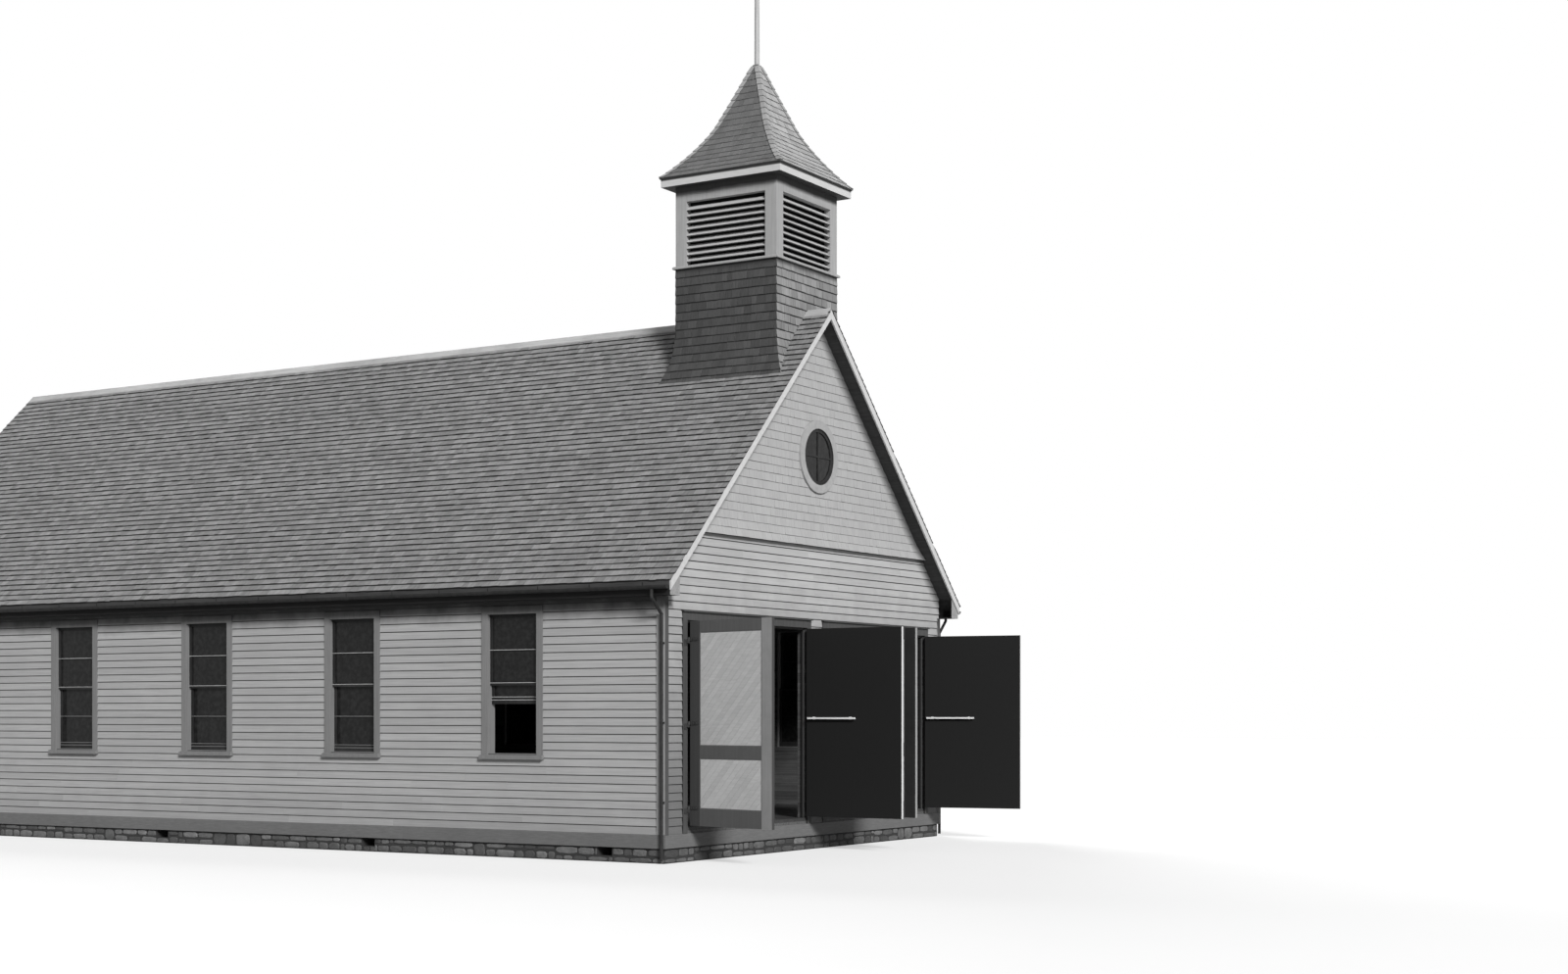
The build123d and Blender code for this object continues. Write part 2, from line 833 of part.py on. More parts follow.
def flagpole():
    """Tapered pole planed to sixteen sides, with a flat cap."""
    top = cupola_apex + pole_length
    foot = Pos(0, 0, cupola_apex) * RegularPolygon(pole_radius, pole_sides)
    tip = Pos(0, 0, top) * RegularPolygon(pole_tip_radius, pole_sides)
    cap = Pos(0, 0, top) * RegularPolygon(pole_cap_radius, pole_sides)
    return Pos(0, cupola_y, 0) * (loft([foot, tip]) + extrude(cap, amount=pole_cap_height))


os.makedirs("parts", exist_ok=True)

save("foundation_sides", *bothSides(foundationSide()))
save("foundation_ends", *bothEnds(foundationEnd()))
save("floor_frame", floorFrame())
save("floor", floor())
save("base_boards", baseBoards())

front_back = front_y + wall_thickness
rear_inner = rear_y - wall_thickness
save("side_wall_bases", *bothSides(sideWallBase()))
save("side_wall_piers", *[s for pier in sideWallPiers() for s in bothSides(pier)])
save("side_wall_heads", *bothSides(sideWallHead()))
save("rear_wall_base", block(-end_inner_x, end_inner_x, rear_inner, rear_y, floor_top, window_bottom))
save("end_wall_piers", *endPiers(doorway_width, floor_top, doorway_head, front_y, front_back),
     *endPiers(window_width, window_bottom, window_top, rear_inner, rear_y))
save("end_wall_heads", endWallHead(doorway_head, front_y, front_back),
     endWallHead(window_top, rear_inner, rear_y))
round_opening = roundCut(round_opening_radius, front_y - past, front_back + past)
save("gable_walls", gable(front_y, front_back) - round_opening, gable(rear_inner, rear_y))
shingling = gableShingling()
casing_clearing = roundCut(round_opening_radius + round_casing_width, front_y - 2 * skirt_reach,
                           front_y + past)
save("gable_shingling", shingling - casing_clearing, Rot(0, 0, 180) * shingling)
save("corner_boards", *allCorners(cornerBoards()))

slope = roofSlope()
save("roof_left", slope)
save("roof_right", mirror(slope, about=Plane.YZ))
save("ridge_cap", *ridgeCap())
save("rake_boards", *allCorners(rakeBoard()))
save("rake_soffits", *allCorners(rakeSoffit()))
save("eave_boxes", *bothSides(eaveBox()))
save("gutters", *bothSides(gutter()))
save("downspouts", *bothSides(downspout()))

frames, sashes, panes = allWindows()
save("window_frames", *frames)
save("window_sashes", *sashes, roundSash())
save("window_glass", *panes, roundPanes())
save("round_window_casing", roundCasing())

save("door_casings", doorCasing(-doorway_centre), doorCasing(doorway_centre))
save("door_stops", doorStops(-doorway_centre), doorStops(doorway_centre))
save("door_pintles", *pintles())

leaf_back = hinge_offset + leaf_thickness
leaf_pieces = {
    "frame": [leafFrame()],
    "panels": leafPanels(hinge_offset + panel_setback, leaf_back),
    "straps": [leafStrap(level) for level in hinge_levels],
    "bar": [leafBar()],
}
leaves = {
    "door_1_left": (-doorway_centre, -1, outer_left_open),
    "door_1_right": (-doorway_centre, 1, inner_left_open),
    "door_2_left": (doorway_centre, -1, inner_right_open),
    "door_2_right": (doorway_centre, 1, outer_right_open),
}
barred = ("door_1_right", "door_2_right")
for leaf, (centre, side, angle) in leaves.items():
    for piece, shapes in leaf_pieces.items():
        if piece != "bar" or leaf in barred:
            save(leaf + "_" + piece, *placedLeaf(shapes, centre, side, angle))

save("cupola_base", cupolaBase())
save("belfry_sill", belfrySill())
save("belfry_frame", belfryFrame())
save("belfry_louvres", *louvres())
save("cupola_cornice", cornice())
save("cupola_roof", cupolaRoof())
save("flagpole", flagpole())
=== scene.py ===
import json
import math
import random

import bmesh
import bpy
from mathutils import Matrix, Vector


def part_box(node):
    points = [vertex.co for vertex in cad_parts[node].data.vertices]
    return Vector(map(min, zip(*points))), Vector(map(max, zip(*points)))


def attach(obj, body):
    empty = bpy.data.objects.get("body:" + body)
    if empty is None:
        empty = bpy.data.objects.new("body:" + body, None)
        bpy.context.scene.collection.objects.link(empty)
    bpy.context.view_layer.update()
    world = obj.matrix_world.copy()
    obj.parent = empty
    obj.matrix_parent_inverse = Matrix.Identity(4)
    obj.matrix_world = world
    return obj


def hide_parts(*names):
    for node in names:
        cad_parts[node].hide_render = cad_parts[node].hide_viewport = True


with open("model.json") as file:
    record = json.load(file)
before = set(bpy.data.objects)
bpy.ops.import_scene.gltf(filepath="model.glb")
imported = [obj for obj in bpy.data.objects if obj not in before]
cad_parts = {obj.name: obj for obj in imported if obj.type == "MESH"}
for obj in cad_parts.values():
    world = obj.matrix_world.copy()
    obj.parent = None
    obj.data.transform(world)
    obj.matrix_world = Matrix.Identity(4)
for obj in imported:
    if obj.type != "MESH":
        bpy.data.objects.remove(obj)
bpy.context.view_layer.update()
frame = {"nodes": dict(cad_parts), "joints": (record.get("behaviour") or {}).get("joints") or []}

# Timber fire station: clapboards, shingles, rubble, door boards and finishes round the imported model.
print("frame loaded")

wallLow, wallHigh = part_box("side_wall_bases")
roofLow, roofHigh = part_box("roof_left")
house = {
    "wallX": wallHigh.x,
    "frontY": wallLow.y,
    "rearY": wallHigh.y,
    "ridgeZ": roofHigh.z,
    "eaveX": -roofLow.x,
    "eaveZ": roofHigh.z + roofLow.x,
    "baseTop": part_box("base_boards")[1].z,
    "cornerTop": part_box("corner_boards")[1].z,
    "cornerFront": 0.065,               # width of a corner board on the end wall
    "cornerSide": 0.115,                # and of its mate on the side wall
    "skirtFoot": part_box("gable_shingling")[0].z,
    "soffitDrop": 0.1061 + 0.0255,      # from the roof's top plane to the underside of the rake soffit
}
underRake = house["ridgeZ"] - house["soffitDrop"]


# Meshes

def newHeap():
    return {"points": [], "faces": [], "tones": [], "runs": [], "rises": []}


# rise is 0 at a board's butt, 1 where the next course laps it, and -1 on its back
def addPoint(heap, place, tone, run, rise=0.5):
    heap["points"].append(tuple(place))
    heap["tones"].append(tone)
    heap["runs"].extend(run)
    heap["rises"].append(rise)


# A plate is a closed piece: its outline lies in (u, v), its face stands depthAt(v) out of the surface.
def addPlate(heap, chart, outline, depthAt, back, rng, lift=(0.0, None), upright=False):
    first = len(heap["points"])
    count = len(outline)
    tone = rng.random()
    offset = rng.uniform(0, 40)
    low, exposure = lift
    for face in (True, False):
        for u, v in outline:
            depth = depthAt(v) if face else back
            run = (v + offset, u, depth) if upright else (u + offset, v, depth)
            rise = (v - low) / exposure if exposure else 0.5
            addPoint(heap, chart(u, v, depth), tone, run, rise if face else -1)
    heap["faces"].append(tuple(range(first, first + count)))
    heap["faces"].append(tuple(range(first + 2 * count - 1, first + count - 1, -1)))
    for i in range(count):
        j = (i + 1) % count
        heap["faces"].append((first + i, first + count + i, first + count + j, first + j))


# Skins the newest rings of points; a looped skin goes on to its first ring again, any other is capped
def joinRings(heap, count, rings, looped=False):
    first = len(heap["points"]) - count * rings
    for ring in range(rings if looped else rings - 1):
        here = first + ring * count
        beyond = first + (ring + 1) % rings * count
        for k in range(count):
            after = (k + 1) % count
            heap["faces"].append((here + k, here + after, beyond + after, beyond + k))
    if not looped:
        last = first + (rings - 1) * count
        heap["faces"].append(tuple(range(last, last + count)))
        heap["faces"].append(tuple(range(first + count - 1, first - 1, -1)))


def newObject(name, data):
    made = bpy.data.objects.new(name, data)
    bpy.context.scene.collection.objects.link(made)
    return made


def makePiece(name, heap, finish, body="root", smooth=False):
    mesh = bpy.data.meshes.new(name)
    mesh.from_pydata(heap["points"], [], heap["faces"])
    shape = bmesh.new()
    shape.from_mesh(mesh)
    bmesh.ops.recalc_face_normals(shape, faces=shape.faces)
    shape.to_mesh(mesh)
    shape.free()
    mesh.attributes.new("tone", "FLOAT", "POINT").data.foreach_set("value", heap["tones"])
    mesh.attributes.new("run", "FLOAT_VECTOR", "POINT").data.foreach_set("vector", heap["runs"])
    mesh.attributes.new("rise", "FLOAT", "POINT").data.foreach_set("value", heap["rises"])
    if smooth:
        mesh.shade_smooth()
    mesh.materials.append(finishes[finish])
    piece = newObject(name, mesh)
    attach(piece, body)
    print("made", name, len(mesh.polygons), "faces")
    return piece


def clipped(outline, a, b, c):          # keeps the side where a*u + b*v <= c
    kept = []
    for i, (u, v) in enumerate(outline):
        lastU, lastV = outline[i - 1]
        now = a * u + b * v - c
        before = a * lastU + b * lastV - c
        if (now <= 0) != (before <= 0):
            t = before / (before - now)
            kept.append((lastU + t * (u - lastU), lastV + t * (v - lastV)))
        if now <= 0:
            kept.append((u, v))
    return kept


def isWorthMaking(outline, leastArea):
    total = 0.0
    for i, (u, v) in enumerate(outline):
        total += outline[i - 1][0] * v - u * outline[i - 1][1]
    return len(outline) > 2 and abs(total) / 2 > leastArea


def withoutHole(parts, hole):           # parts and hole are (u0, u1, v0, v1)
    a0, a1, b0, b1 = hole
    left = []
    for u0, u1, v0, v1 in parts:
        if a0 >= u1 or a1 <= u0 or b0 >= v1 or b1 <= v0:
            left.append((u0, u1, v0, v1))
            continue
        if a0 > u0:
            left.append((u0, a0, v0, v1))
        if a1 < u1:
            left.append((a1, u1, v0, v1))
        if b1 < v1:
            left.append((max(u0, a0), min(u1, a1), b1, v1))
        if b0 > v0:
            left.append((max(u0, a0), min(u1, a1), v0, b0))
    return left


def wallChart(side, low=wallLow, high=wallHigh):    # u runs along the wall, v is the height
    sign = -1 if side in ("left", "front") else 1
    corner = low if sign < 0 else high
    if side in ("left", "right"):
        return lambda u, v, depth: (corner.x + sign * depth, u, v)
    return lambda u, v, depth: (u, corner.y + sign * depth, v)


# Node helpers

noiseSpan = (0.3, 0.7)                  # nearly all values of a noise lie between these


def feed(tree, socket, value):
    if isinstance(value, bpy.types.NodeSocket):
        tree.links.new(value, socket)
    else:
        socket.default_value = value


def add(tree, kind, settings=None, inputs=None):
    made = tree.nodes.new(kind)
    for key, value in (settings or {}).items():
        setattr(made, key, value)
    for key, value in (inputs or {}).items():
        feed(tree, made.inputs[key], value)
    return made


def maths(tree, operation, a, b=0.0, clamp=False):
    return add(tree, "ShaderNodeMath", {"operation": operation, "use_clamp": clamp}, {0: a, 1: b}).outputs[0]


def times(tree, a, b):
    return maths(tree, "MULTIPLY", a, b)


def plus(tree, a, b):
    return maths(tree, "ADD", a, b)


def minus(tree, a, b):
    return maths(tree, "SUBTRACT", a, b)


def vectorMaths(tree, operation, a, b=(0, 0, 0), output="Vector"):
    return add(tree, "ShaderNodeVectorMath", {"operation": operation}, {0: a, 1: b}).outputs[output]


def span(tree, value, low, high, newLow, newHigh):
    inputs = {0: value, 1: low, 2: high, 3: newLow, 4: newHigh}
    return add(tree, "ShaderNodeMapRange", None, inputs).outputs[0]


def grey(value):
    return (value, value, value, 1)


def mixed(tree, amount, a, b, blend="MIX"):
    inputs = {0: amount, 6: a, 7: b}
    return add(tree, "ShaderNodeMix", {"data_type": "RGBA", "blend_type": blend}, inputs).outputs[2]


def shaded(tree, colour, shade, mask=1.0):
    return mixed(tree, mask, colour, shade, "MULTIPLY")


def veiled(tree, colour, mask, amount, tone):       # a grey laid over a colour where the mask is on
    return mixed(tree, times(tree, mask, amount), colour, grey(tone))


def placeOf(tree):
    return add(tree, "ShaderNodeTexCoord").outputs["Object"]


def axisOf(tree, axis):
    return add(tree, "ShaderNodeSeparateXYZ", None, {0: placeOf(tree)}).outputs[axis]


def markOf(tree, name, output="Fac"):   # what makePiece stored at each point
    return add(tree, "ShaderNodeAttribute", {"attribute_name": name}).outputs[output]


def noise(tree, vector, scale, detail=3.0, roughness=0.55):
    inputs = {"Vector": vector, "Scale": scale, "Detail": detail, "Roughness": roughness}
    return add(tree, "ShaderNodeTexNoise", None, inputs).outputs[0]


def ragged(tree, scale, low, high):     # a value that wanders between two others
    return span(tree, noise(tree, placeOf(tree), scale, 4.0), *noiseSpan, low, high)


groups = {}


def newGroup(name, inputs, outputs):
    group = bpy.data.node_groups.new(name, "ShaderNodeTree")
    for label, value in inputs.items():
        kind = "NodeSocketVector" if isinstance(value, tuple) else "NodeSocketFloat"
        group.interface.new_socket(name=label, in_out="INPUT", socket_type=kind).default_value = value
    for label in outputs:
        group.interface.new_socket(name=label, in_out="OUTPUT", socket_type="NodeSocketFloat")
    groups[name] = group
    return group, group.nodes.new("NodeGroupInput").outputs, group.nodes.new("NodeGroupOutput").inputs


# Grain along a board: coarse bands and fine fibres, from the board's own run or from the object's space
def grainGroup(name, ownRun):
    group, given, result = newGroup(name, {"Stretch": (1, 1, 1)}, ["Grain", "Fibre"])
    vector = markOf(group, "run", "Vector") if ownRun else placeOf(group)
    vector = vectorMaths(group, "MULTIPLY", vector, given["Stretch"])
    feed(group, result["Grain"], span(group, noise(group, vector, 1.0, 4.0), *noiseSpan, 0.0, 1.0))
    feed(group, result["Fibre"], noise(group, vector, 4.0, 2.0, 0.7))


# How light or dark each board is beside its neighbours
def boardToneGroup():
    group, given, result = newGroup("boardTone", {"Low": 0.8, "High": 1.1}, ["Shade"])
    feed(group, result["Shade"], span(group, markOf(group, "tone"), 0.0, 1.0, given["Low"], given["High"]))


# Weather stains: broad patches broken up by finer ones
def stainGroup():
    group, given, result = newGroup("weatherStain", {"Scale": 0.6, "Spread": 0.5}, ["Stain"])
    broad = noise(group, placeOf(group), given["Scale"], 5.0, 0.6)
    fine = noise(group, placeOf(group), times(group, given["Scale"], 7.0), 4.0, 0.6)
    both = plus(group, times(group, broad, 0.7), times(group, fine, 0.3))
    edge = minus(group, 1.0, given["Spread"])
    low = minus(group, edge, 0.12)
    high = plus(group, edge, 0.12)
    feed(group, result["Stain"], span(group, both, low, high, 0.0, 1.0))


# Splashed dirt that fades with the height above the ground
def splashGroup():
    group, given, result = newGroup("groundSplash", {"Reach": 0.6}, ["Splash"])
    reach = times(group, given["Reach"], ragged(group, 3.0, 0.85, 1.1))
    share = maths(group, "DIVIDE", axisOf(group, "Z"), reach)
    feed(group, result["Splash"], span(group, share, 0.0, 1.0, 1.0, 0.0))


# How squarely a surface faces one direction, or with Both its opposite too, in the object's own space
def facingGroup():
    group, given, result = newGroup("facing", {"Direction": (0, 0, 1), "Edge": 0.6, "Both": 0.0}, ["Mask"])
    normal = add(group, "ShaderNodeTexCoord").outputs["Normal"]
    dot = vectorMaths(group, "DOT_PRODUCT", normal, given["Direction"], "Value")
    bothWays = times(group, maths(group, "ABSOLUTE", dot), given["Both"])
    oneWay = times(group, dot, minus(group, 1.0, given["Both"]))
    high = plus(group, given["Edge"], 0.1)
    feed(group, result["Mask"], span(group, plus(group, bothWays, oneWay), given["Edge"], high, 0.0, 1.0))


# Painted shade and dirt: a dark line where a course is lapped, for the shadow under the next butt and the
# dirt there, the butt's underside dark as in shade, and a darker edge just above the butt
def lapGroup():
    group, given, result = newGroup("lapLine", {"Lap": 0.08, "Drip": 0.01}, ["Line"])
    rise = markOf(group, "rise")
    start = minus(group, 1.0, given["Lap"])
    lap = span(group, rise, start, plus(group, start, 0.03), 0.0, 1.0)
    under = span(group, rise, -0.02, -0.3, 0.0, 1.0)
    buttEdge = span(group, rise, 0.0, given["Drip"], 0.6, 0.0)
    feed(group, result["Line"], maths(group, "MAXIMUM", maths(group, "MAXIMUM", lap, under), buttEdge))


# Painted shade: a dark band under an eave, sill or cornice, fading down from a top level
def shadeBandGroup():
    group, given, result = newGroup("eaveGrime", {"Top": 3.7, "Reach": 0.3}, ["Grime"])
    uneven = times(group, ragged(group, 2.5, -0.15, 0.15), given["Reach"])
    start = minus(group, given["Top"], given["Reach"])
    height = plus(group, axisOf(group, "Z"), uneven)
    feed(group, result["Grime"], span(group, height, start, given["Top"], 0.0, 1.0))


# Painted shade beside the rake on the right-hand side of the ridge, where the rake's overhang shades the wall
def rakeShadeGroup():
    group, given, result = newGroup("rakeShade", {"Ridge": 8.0, "Drop": 0.13, "Reach": 0.17}, ["Shade"])
    under = minus(group, minus(group, given["Ridge"], axisOf(group, "Z")), axisOf(group, "X"))
    far = plus(group, given["Drop"], given["Reach"])
    feed(group, result["Shade"], span(group, times(group, under, 0.7071), given["Drop"], far, 1.0, 0.0))


# Level boards painted on a plain face: the joint between two, and how light each one is
def boardingGroup():
    group, given, result = newGroup("boarding", {"Pitch": 0.14, "Joint": 0.04}, ["Joint", "Shade"])
    steps = maths(group, "DIVIDE", axisOf(group, "Z"), given["Pitch"])
    feed(group, result["Joint"], span(group, maths(group, "FRACT", steps), 0.0, given["Joint"], 1.0, 0.0))
    number = maths(group, "FLOOR", steps)
    shade = add(group, "ShaderNodeTexWhiteNoise", {"noise_dimensions": "1D"}, {"W": number}).outputs["Value"]
    feed(group, result["Shade"], span(group, shade, 0.0, 1.0, 0.75, 1.2))


# Distance from a hinge line along a door leaf
def alongGroup():
    group, given, result = newGroup("alongLeaf", {"Hinge": (0, 0, 0), "Direction": (1, 0, 0)}, ["Distance"])
    away = vectorMaths(group, "SUBTRACT", placeOf(group), given["Hinge"])
    feed(group, result["Distance"], vectorMaths(group, "DOT_PRODUCT", away, given["Direction"], "Value"))


grainGroup("boardGrain", True)
grainGroup("solidGrain", False)
for makeGroup in (boardToneGroup, stainGroup, splashGroup, facingGroup, lapGroup, shadeBandGroup, rakeShadeGroup,
                  boardingGroup, alongGroup):
    makeGroup()
print("node groups made:", len(groups))


def useGroup(tree, name, inputs=None):
    return add(tree, "ShaderNodeGroup", {"node_tree": groups[name]}, inputs).outputs


def newMaterial(name):
    made = bpy.data.materials.new(name)
    made.use_nodes = True
    tree = made.node_tree
    tree.nodes.clear()
    leave = tree.nodes.new("ShaderNodeOutputMaterial")
    tree.links.new(tree.nodes.new("ShaderNodeBsdfPrincipled").outputs[0], leave.inputs["Surface"])
    return made, tree


def socketOf(made, name):
    return made.node_tree.nodes["Principled BSDF"].inputs[name]


def dressed(made, colour, rough, height, depth, strength=1.0, specular=0.5):
    tree = made.node_tree
    feed(tree, socketOf(made, "Base Color"), colour)
    feed(tree, socketOf(made, "Roughness"), rough)
    socketOf(made, "Specular IOR Level").default_value = specular
    bump = add(tree, "ShaderNodeBump", None, {"Strength": strength, "Distance": depth, "Height": height})
    feed(tree, socketOf(made, "Normal"), bump.outputs["Normal"])
    return made


timberLook = {
    "light": 0.4, "dark": 0.3, "boards": False, "stretch": (40, 2, 40), "toneLow": 0.9, "toneHigh": 1.08,
    "stain": 0.2, "stainScale": 0.5, "stainTone": 0.12, "spread": 0.45,
    "splash": 0.0, "splashReach": 0.6, "splashTone": 0.1,
    "rough": (0.6, 0.85), "bump": 0.0006, "specular": 0.25, "pitch": 0.0,
    "paintedShade": 0.0, "paintedShadeTop": 3.72, "paintedShadeReach": 0.34, "paintedShadeTone": 0.02, "rakeShade": 0.0, "rakeTone": 0.03,
    "facing": None, "facingBoth": 0.0, "facingShade": 0.2, "facingEdge": 0.6,
    "lap": 0.0, "drip": 0.01, "lapTone": 0.05,
}


def timber(name, **changes):
    look = dict(timberLook, **changes)
    made, tree = newMaterial(name)
    grain = useGroup(tree, "boardGrain" if look["boards"] else "solidGrain", {"Stretch": look["stretch"]})
    colour = mixed(tree, grain["Grain"], grey(look["light"]), grey(look["dark"]))
    if look["boards"]:
        shade = useGroup(tree, "boardTone", {"Low": look["toneLow"], "High": look["toneHigh"]})[0]
        colour = shaded(tree, colour, shade)
    if look["pitch"] > 0:
        boarding = useGroup(tree, "boarding", {"Pitch": look["pitch"]})
        colour = shaded(tree, colour, boarding["Shade"])
        colour = mixed(tree, boarding["Joint"], colour, grey(look["dark"] * 0.2))
    stain = useGroup(tree, "weatherStain", {"Scale": look["stainScale"], "Spread": look["spread"]})[0]
    colour = veiled(tree, colour, stain, look["stain"], look["stainTone"])
    if look["splash"] > 0:
        splash = useGroup(tree, "groundSplash", {"Reach": look["splashReach"]})[0]
        colour = veiled(tree, colour, splash, look["splash"], look["splashTone"])
    # faces turned one way multiplied by facingShade: painted shade on most finishes that use it
    if look["facing"]:
        inputs = {"Direction": look["facing"], "Both": look["facingBoth"], "Edge": look["facingEdge"]}
        colour = shaded(tree, colour, grey(look["facingShade"]), useGroup(tree, "facing", inputs)[0])
    # painted shade under eaves, sills and cornices
    if look["paintedShade"] > 0:
        paintedShade = useGroup(tree, "eaveGrime", {"Top": look["paintedShadeTop"], "Reach": look["paintedShadeReach"]})[0]
        colour = veiled(tree, colour, paintedShade, look["paintedShade"], look["paintedShadeTone"])
    # painted shade beside the right-hand rake
    if look["rakeShade"] > 0:
        shade = useGroup(tree, "rakeShade", {"Ridge": house["ridgeZ"]})[0]
        colour = veiled(tree, colour, shade, look["rakeShade"], look["rakeTone"])
    # painted shade and dirt along the laps
    if look["lap"] > 0:
        line = useGroup(tree, "lapLine", {"Lap": look["lap"], "Drip": look["drip"]})[0]
        colour = mixed(tree, line, colour, grey(look["lapTone"]))
    rough = span(tree, grain["Fibre"], *noiseSpan, *look["rough"])
    height = plus(tree, grain["Fibre"], times(tree, grain["Grain"], 0.5))
    return dressed(made, colour, rough, height, look["bump"], specular=look["specular"])


def stoneFinish(name, light, dark, scale, bumpDepth):
    made, tree = newMaterial(name)
    grain = noise(tree, placeOf(tree), scale, 6.0, 0.65)
    speckle = noise(tree, placeOf(tree), scale * 9, 3.0, 0.7)
    blend = plus(tree, times(tree, grain, 0.6), times(tree, speckle, 0.4))
    colour = mixed(tree, span(tree, blend, 0.35, 0.65, 0.0, 1.0), grey(light), grey(dark))
    colour = shaded(tree, colour, useGroup(tree, "boardTone", {"Low": 0.35, "High": 1.6})[0])
    colour = veiled(tree, colour, useGroup(tree, "groundSplash", {"Reach": 0.12})[0], 0.5, dark * 0.6)
    return dressed(made, colour, span(tree, speckle, *noiseSpan, 0.75, 0.95), blend, bumpDepth)


def mortarFinish(name, tone):
    made, tree = newMaterial(name)
    grain = noise(tree, placeOf(tree), 60.0, 5.0, 0.7)
    colour = mixed(tree, grain, grey(tone * 1.3), grey(tone * 0.6))
    return dressed(made, colour, span(tree, grain, *noiseSpan, 0.85, 1.0), grain, 0.004)


def metalFinish(name, light, dark, metallic, rough):
    made, tree = newMaterial(name)
    patches = noise(tree, placeOf(tree), 9.0, 6.0, 0.65)
    specks = noise(tree, placeOf(tree), 160.0, 2.0, 0.6)
    colour = mixed(tree, span(tree, patches, 0.35, 0.65, 0.0, 1.0), grey(light), grey(dark))
    colour = veiled(tree, colour, specks, 0.3, dark * 0.5)
    socketOf(made, "Metallic").default_value = metallic
    return dressed(made, colour, span(tree, patches, *noiseSpan, *rough), specks, 0.0006, specular=0.15)


# Glass drawn opaque and near black, as painted shade of the dark rooms behind it, with dust and ripples
def paneFinish(name):
    made, tree = newMaterial(name)
    waves = noise(tree, placeOf(tree), 3.5, 2.0, 0.5)
    dust = noise(tree, placeOf(tree), 14.0, 5.0, 0.6)
    colour = mixed(tree, span(tree, dust, 0.4, 0.8, 0.0, 1.0), grey(0.008), grey(0.022))
    return dressed(made, colour, span(tree, dust, 0.3, 0.8, 0.04, 0.2), waves, 0.004, 0.4, specular=0.12)


# Fine wire cloth, near black as painted shade of the dark belfry behind it
def screenFinish(name, mesh, wireHalf):
    made, tree = newMaterial(name)
    warp = maths(tree, "PINGPONG", plus(tree, axisOf(tree, "X"), axisOf(tree, "Y")), mesh)
    weft = maths(tree, "PINGPONG", axisOf(tree, "Z"), mesh)
    wire = span(tree, maths(tree, "MINIMUM", warp, weft), 0.0, wireHalf, 1.0, 0.0)
    colour = mixed(tree, wire, grey(0.004), grey(0.012))
    return dressed(made, colour, span(tree, wire, 0.0, 1.0, 0.95, 0.7), wire, 0.0008, specular=0.05)


# Finish of the round window's casing: its inner rim, the reveal round the sash, is painted dark as shade
def ringFinish(name, centreZ, inner, **look):
    made = timber(name, **look)
    tree = made.node_tree
    base = socketOf(made, "Base Color")
    away = vectorMaths(tree, "SUBTRACT", placeOf(tree), (0, 0, centreZ))
    flat = vectorMaths(tree, "MULTIPLY", away, (1, 0, 1))
    reach = vectorMaths(tree, "LENGTH", flat, output="Value")
    # painted shade in the reveal
    rim = span(tree, reach, inner, inner + 0.003, 1.0, 0.0)
    feed(tree, base, mixed(tree, rim, base.links[0].from_socket, grey(0.03)))
    return made


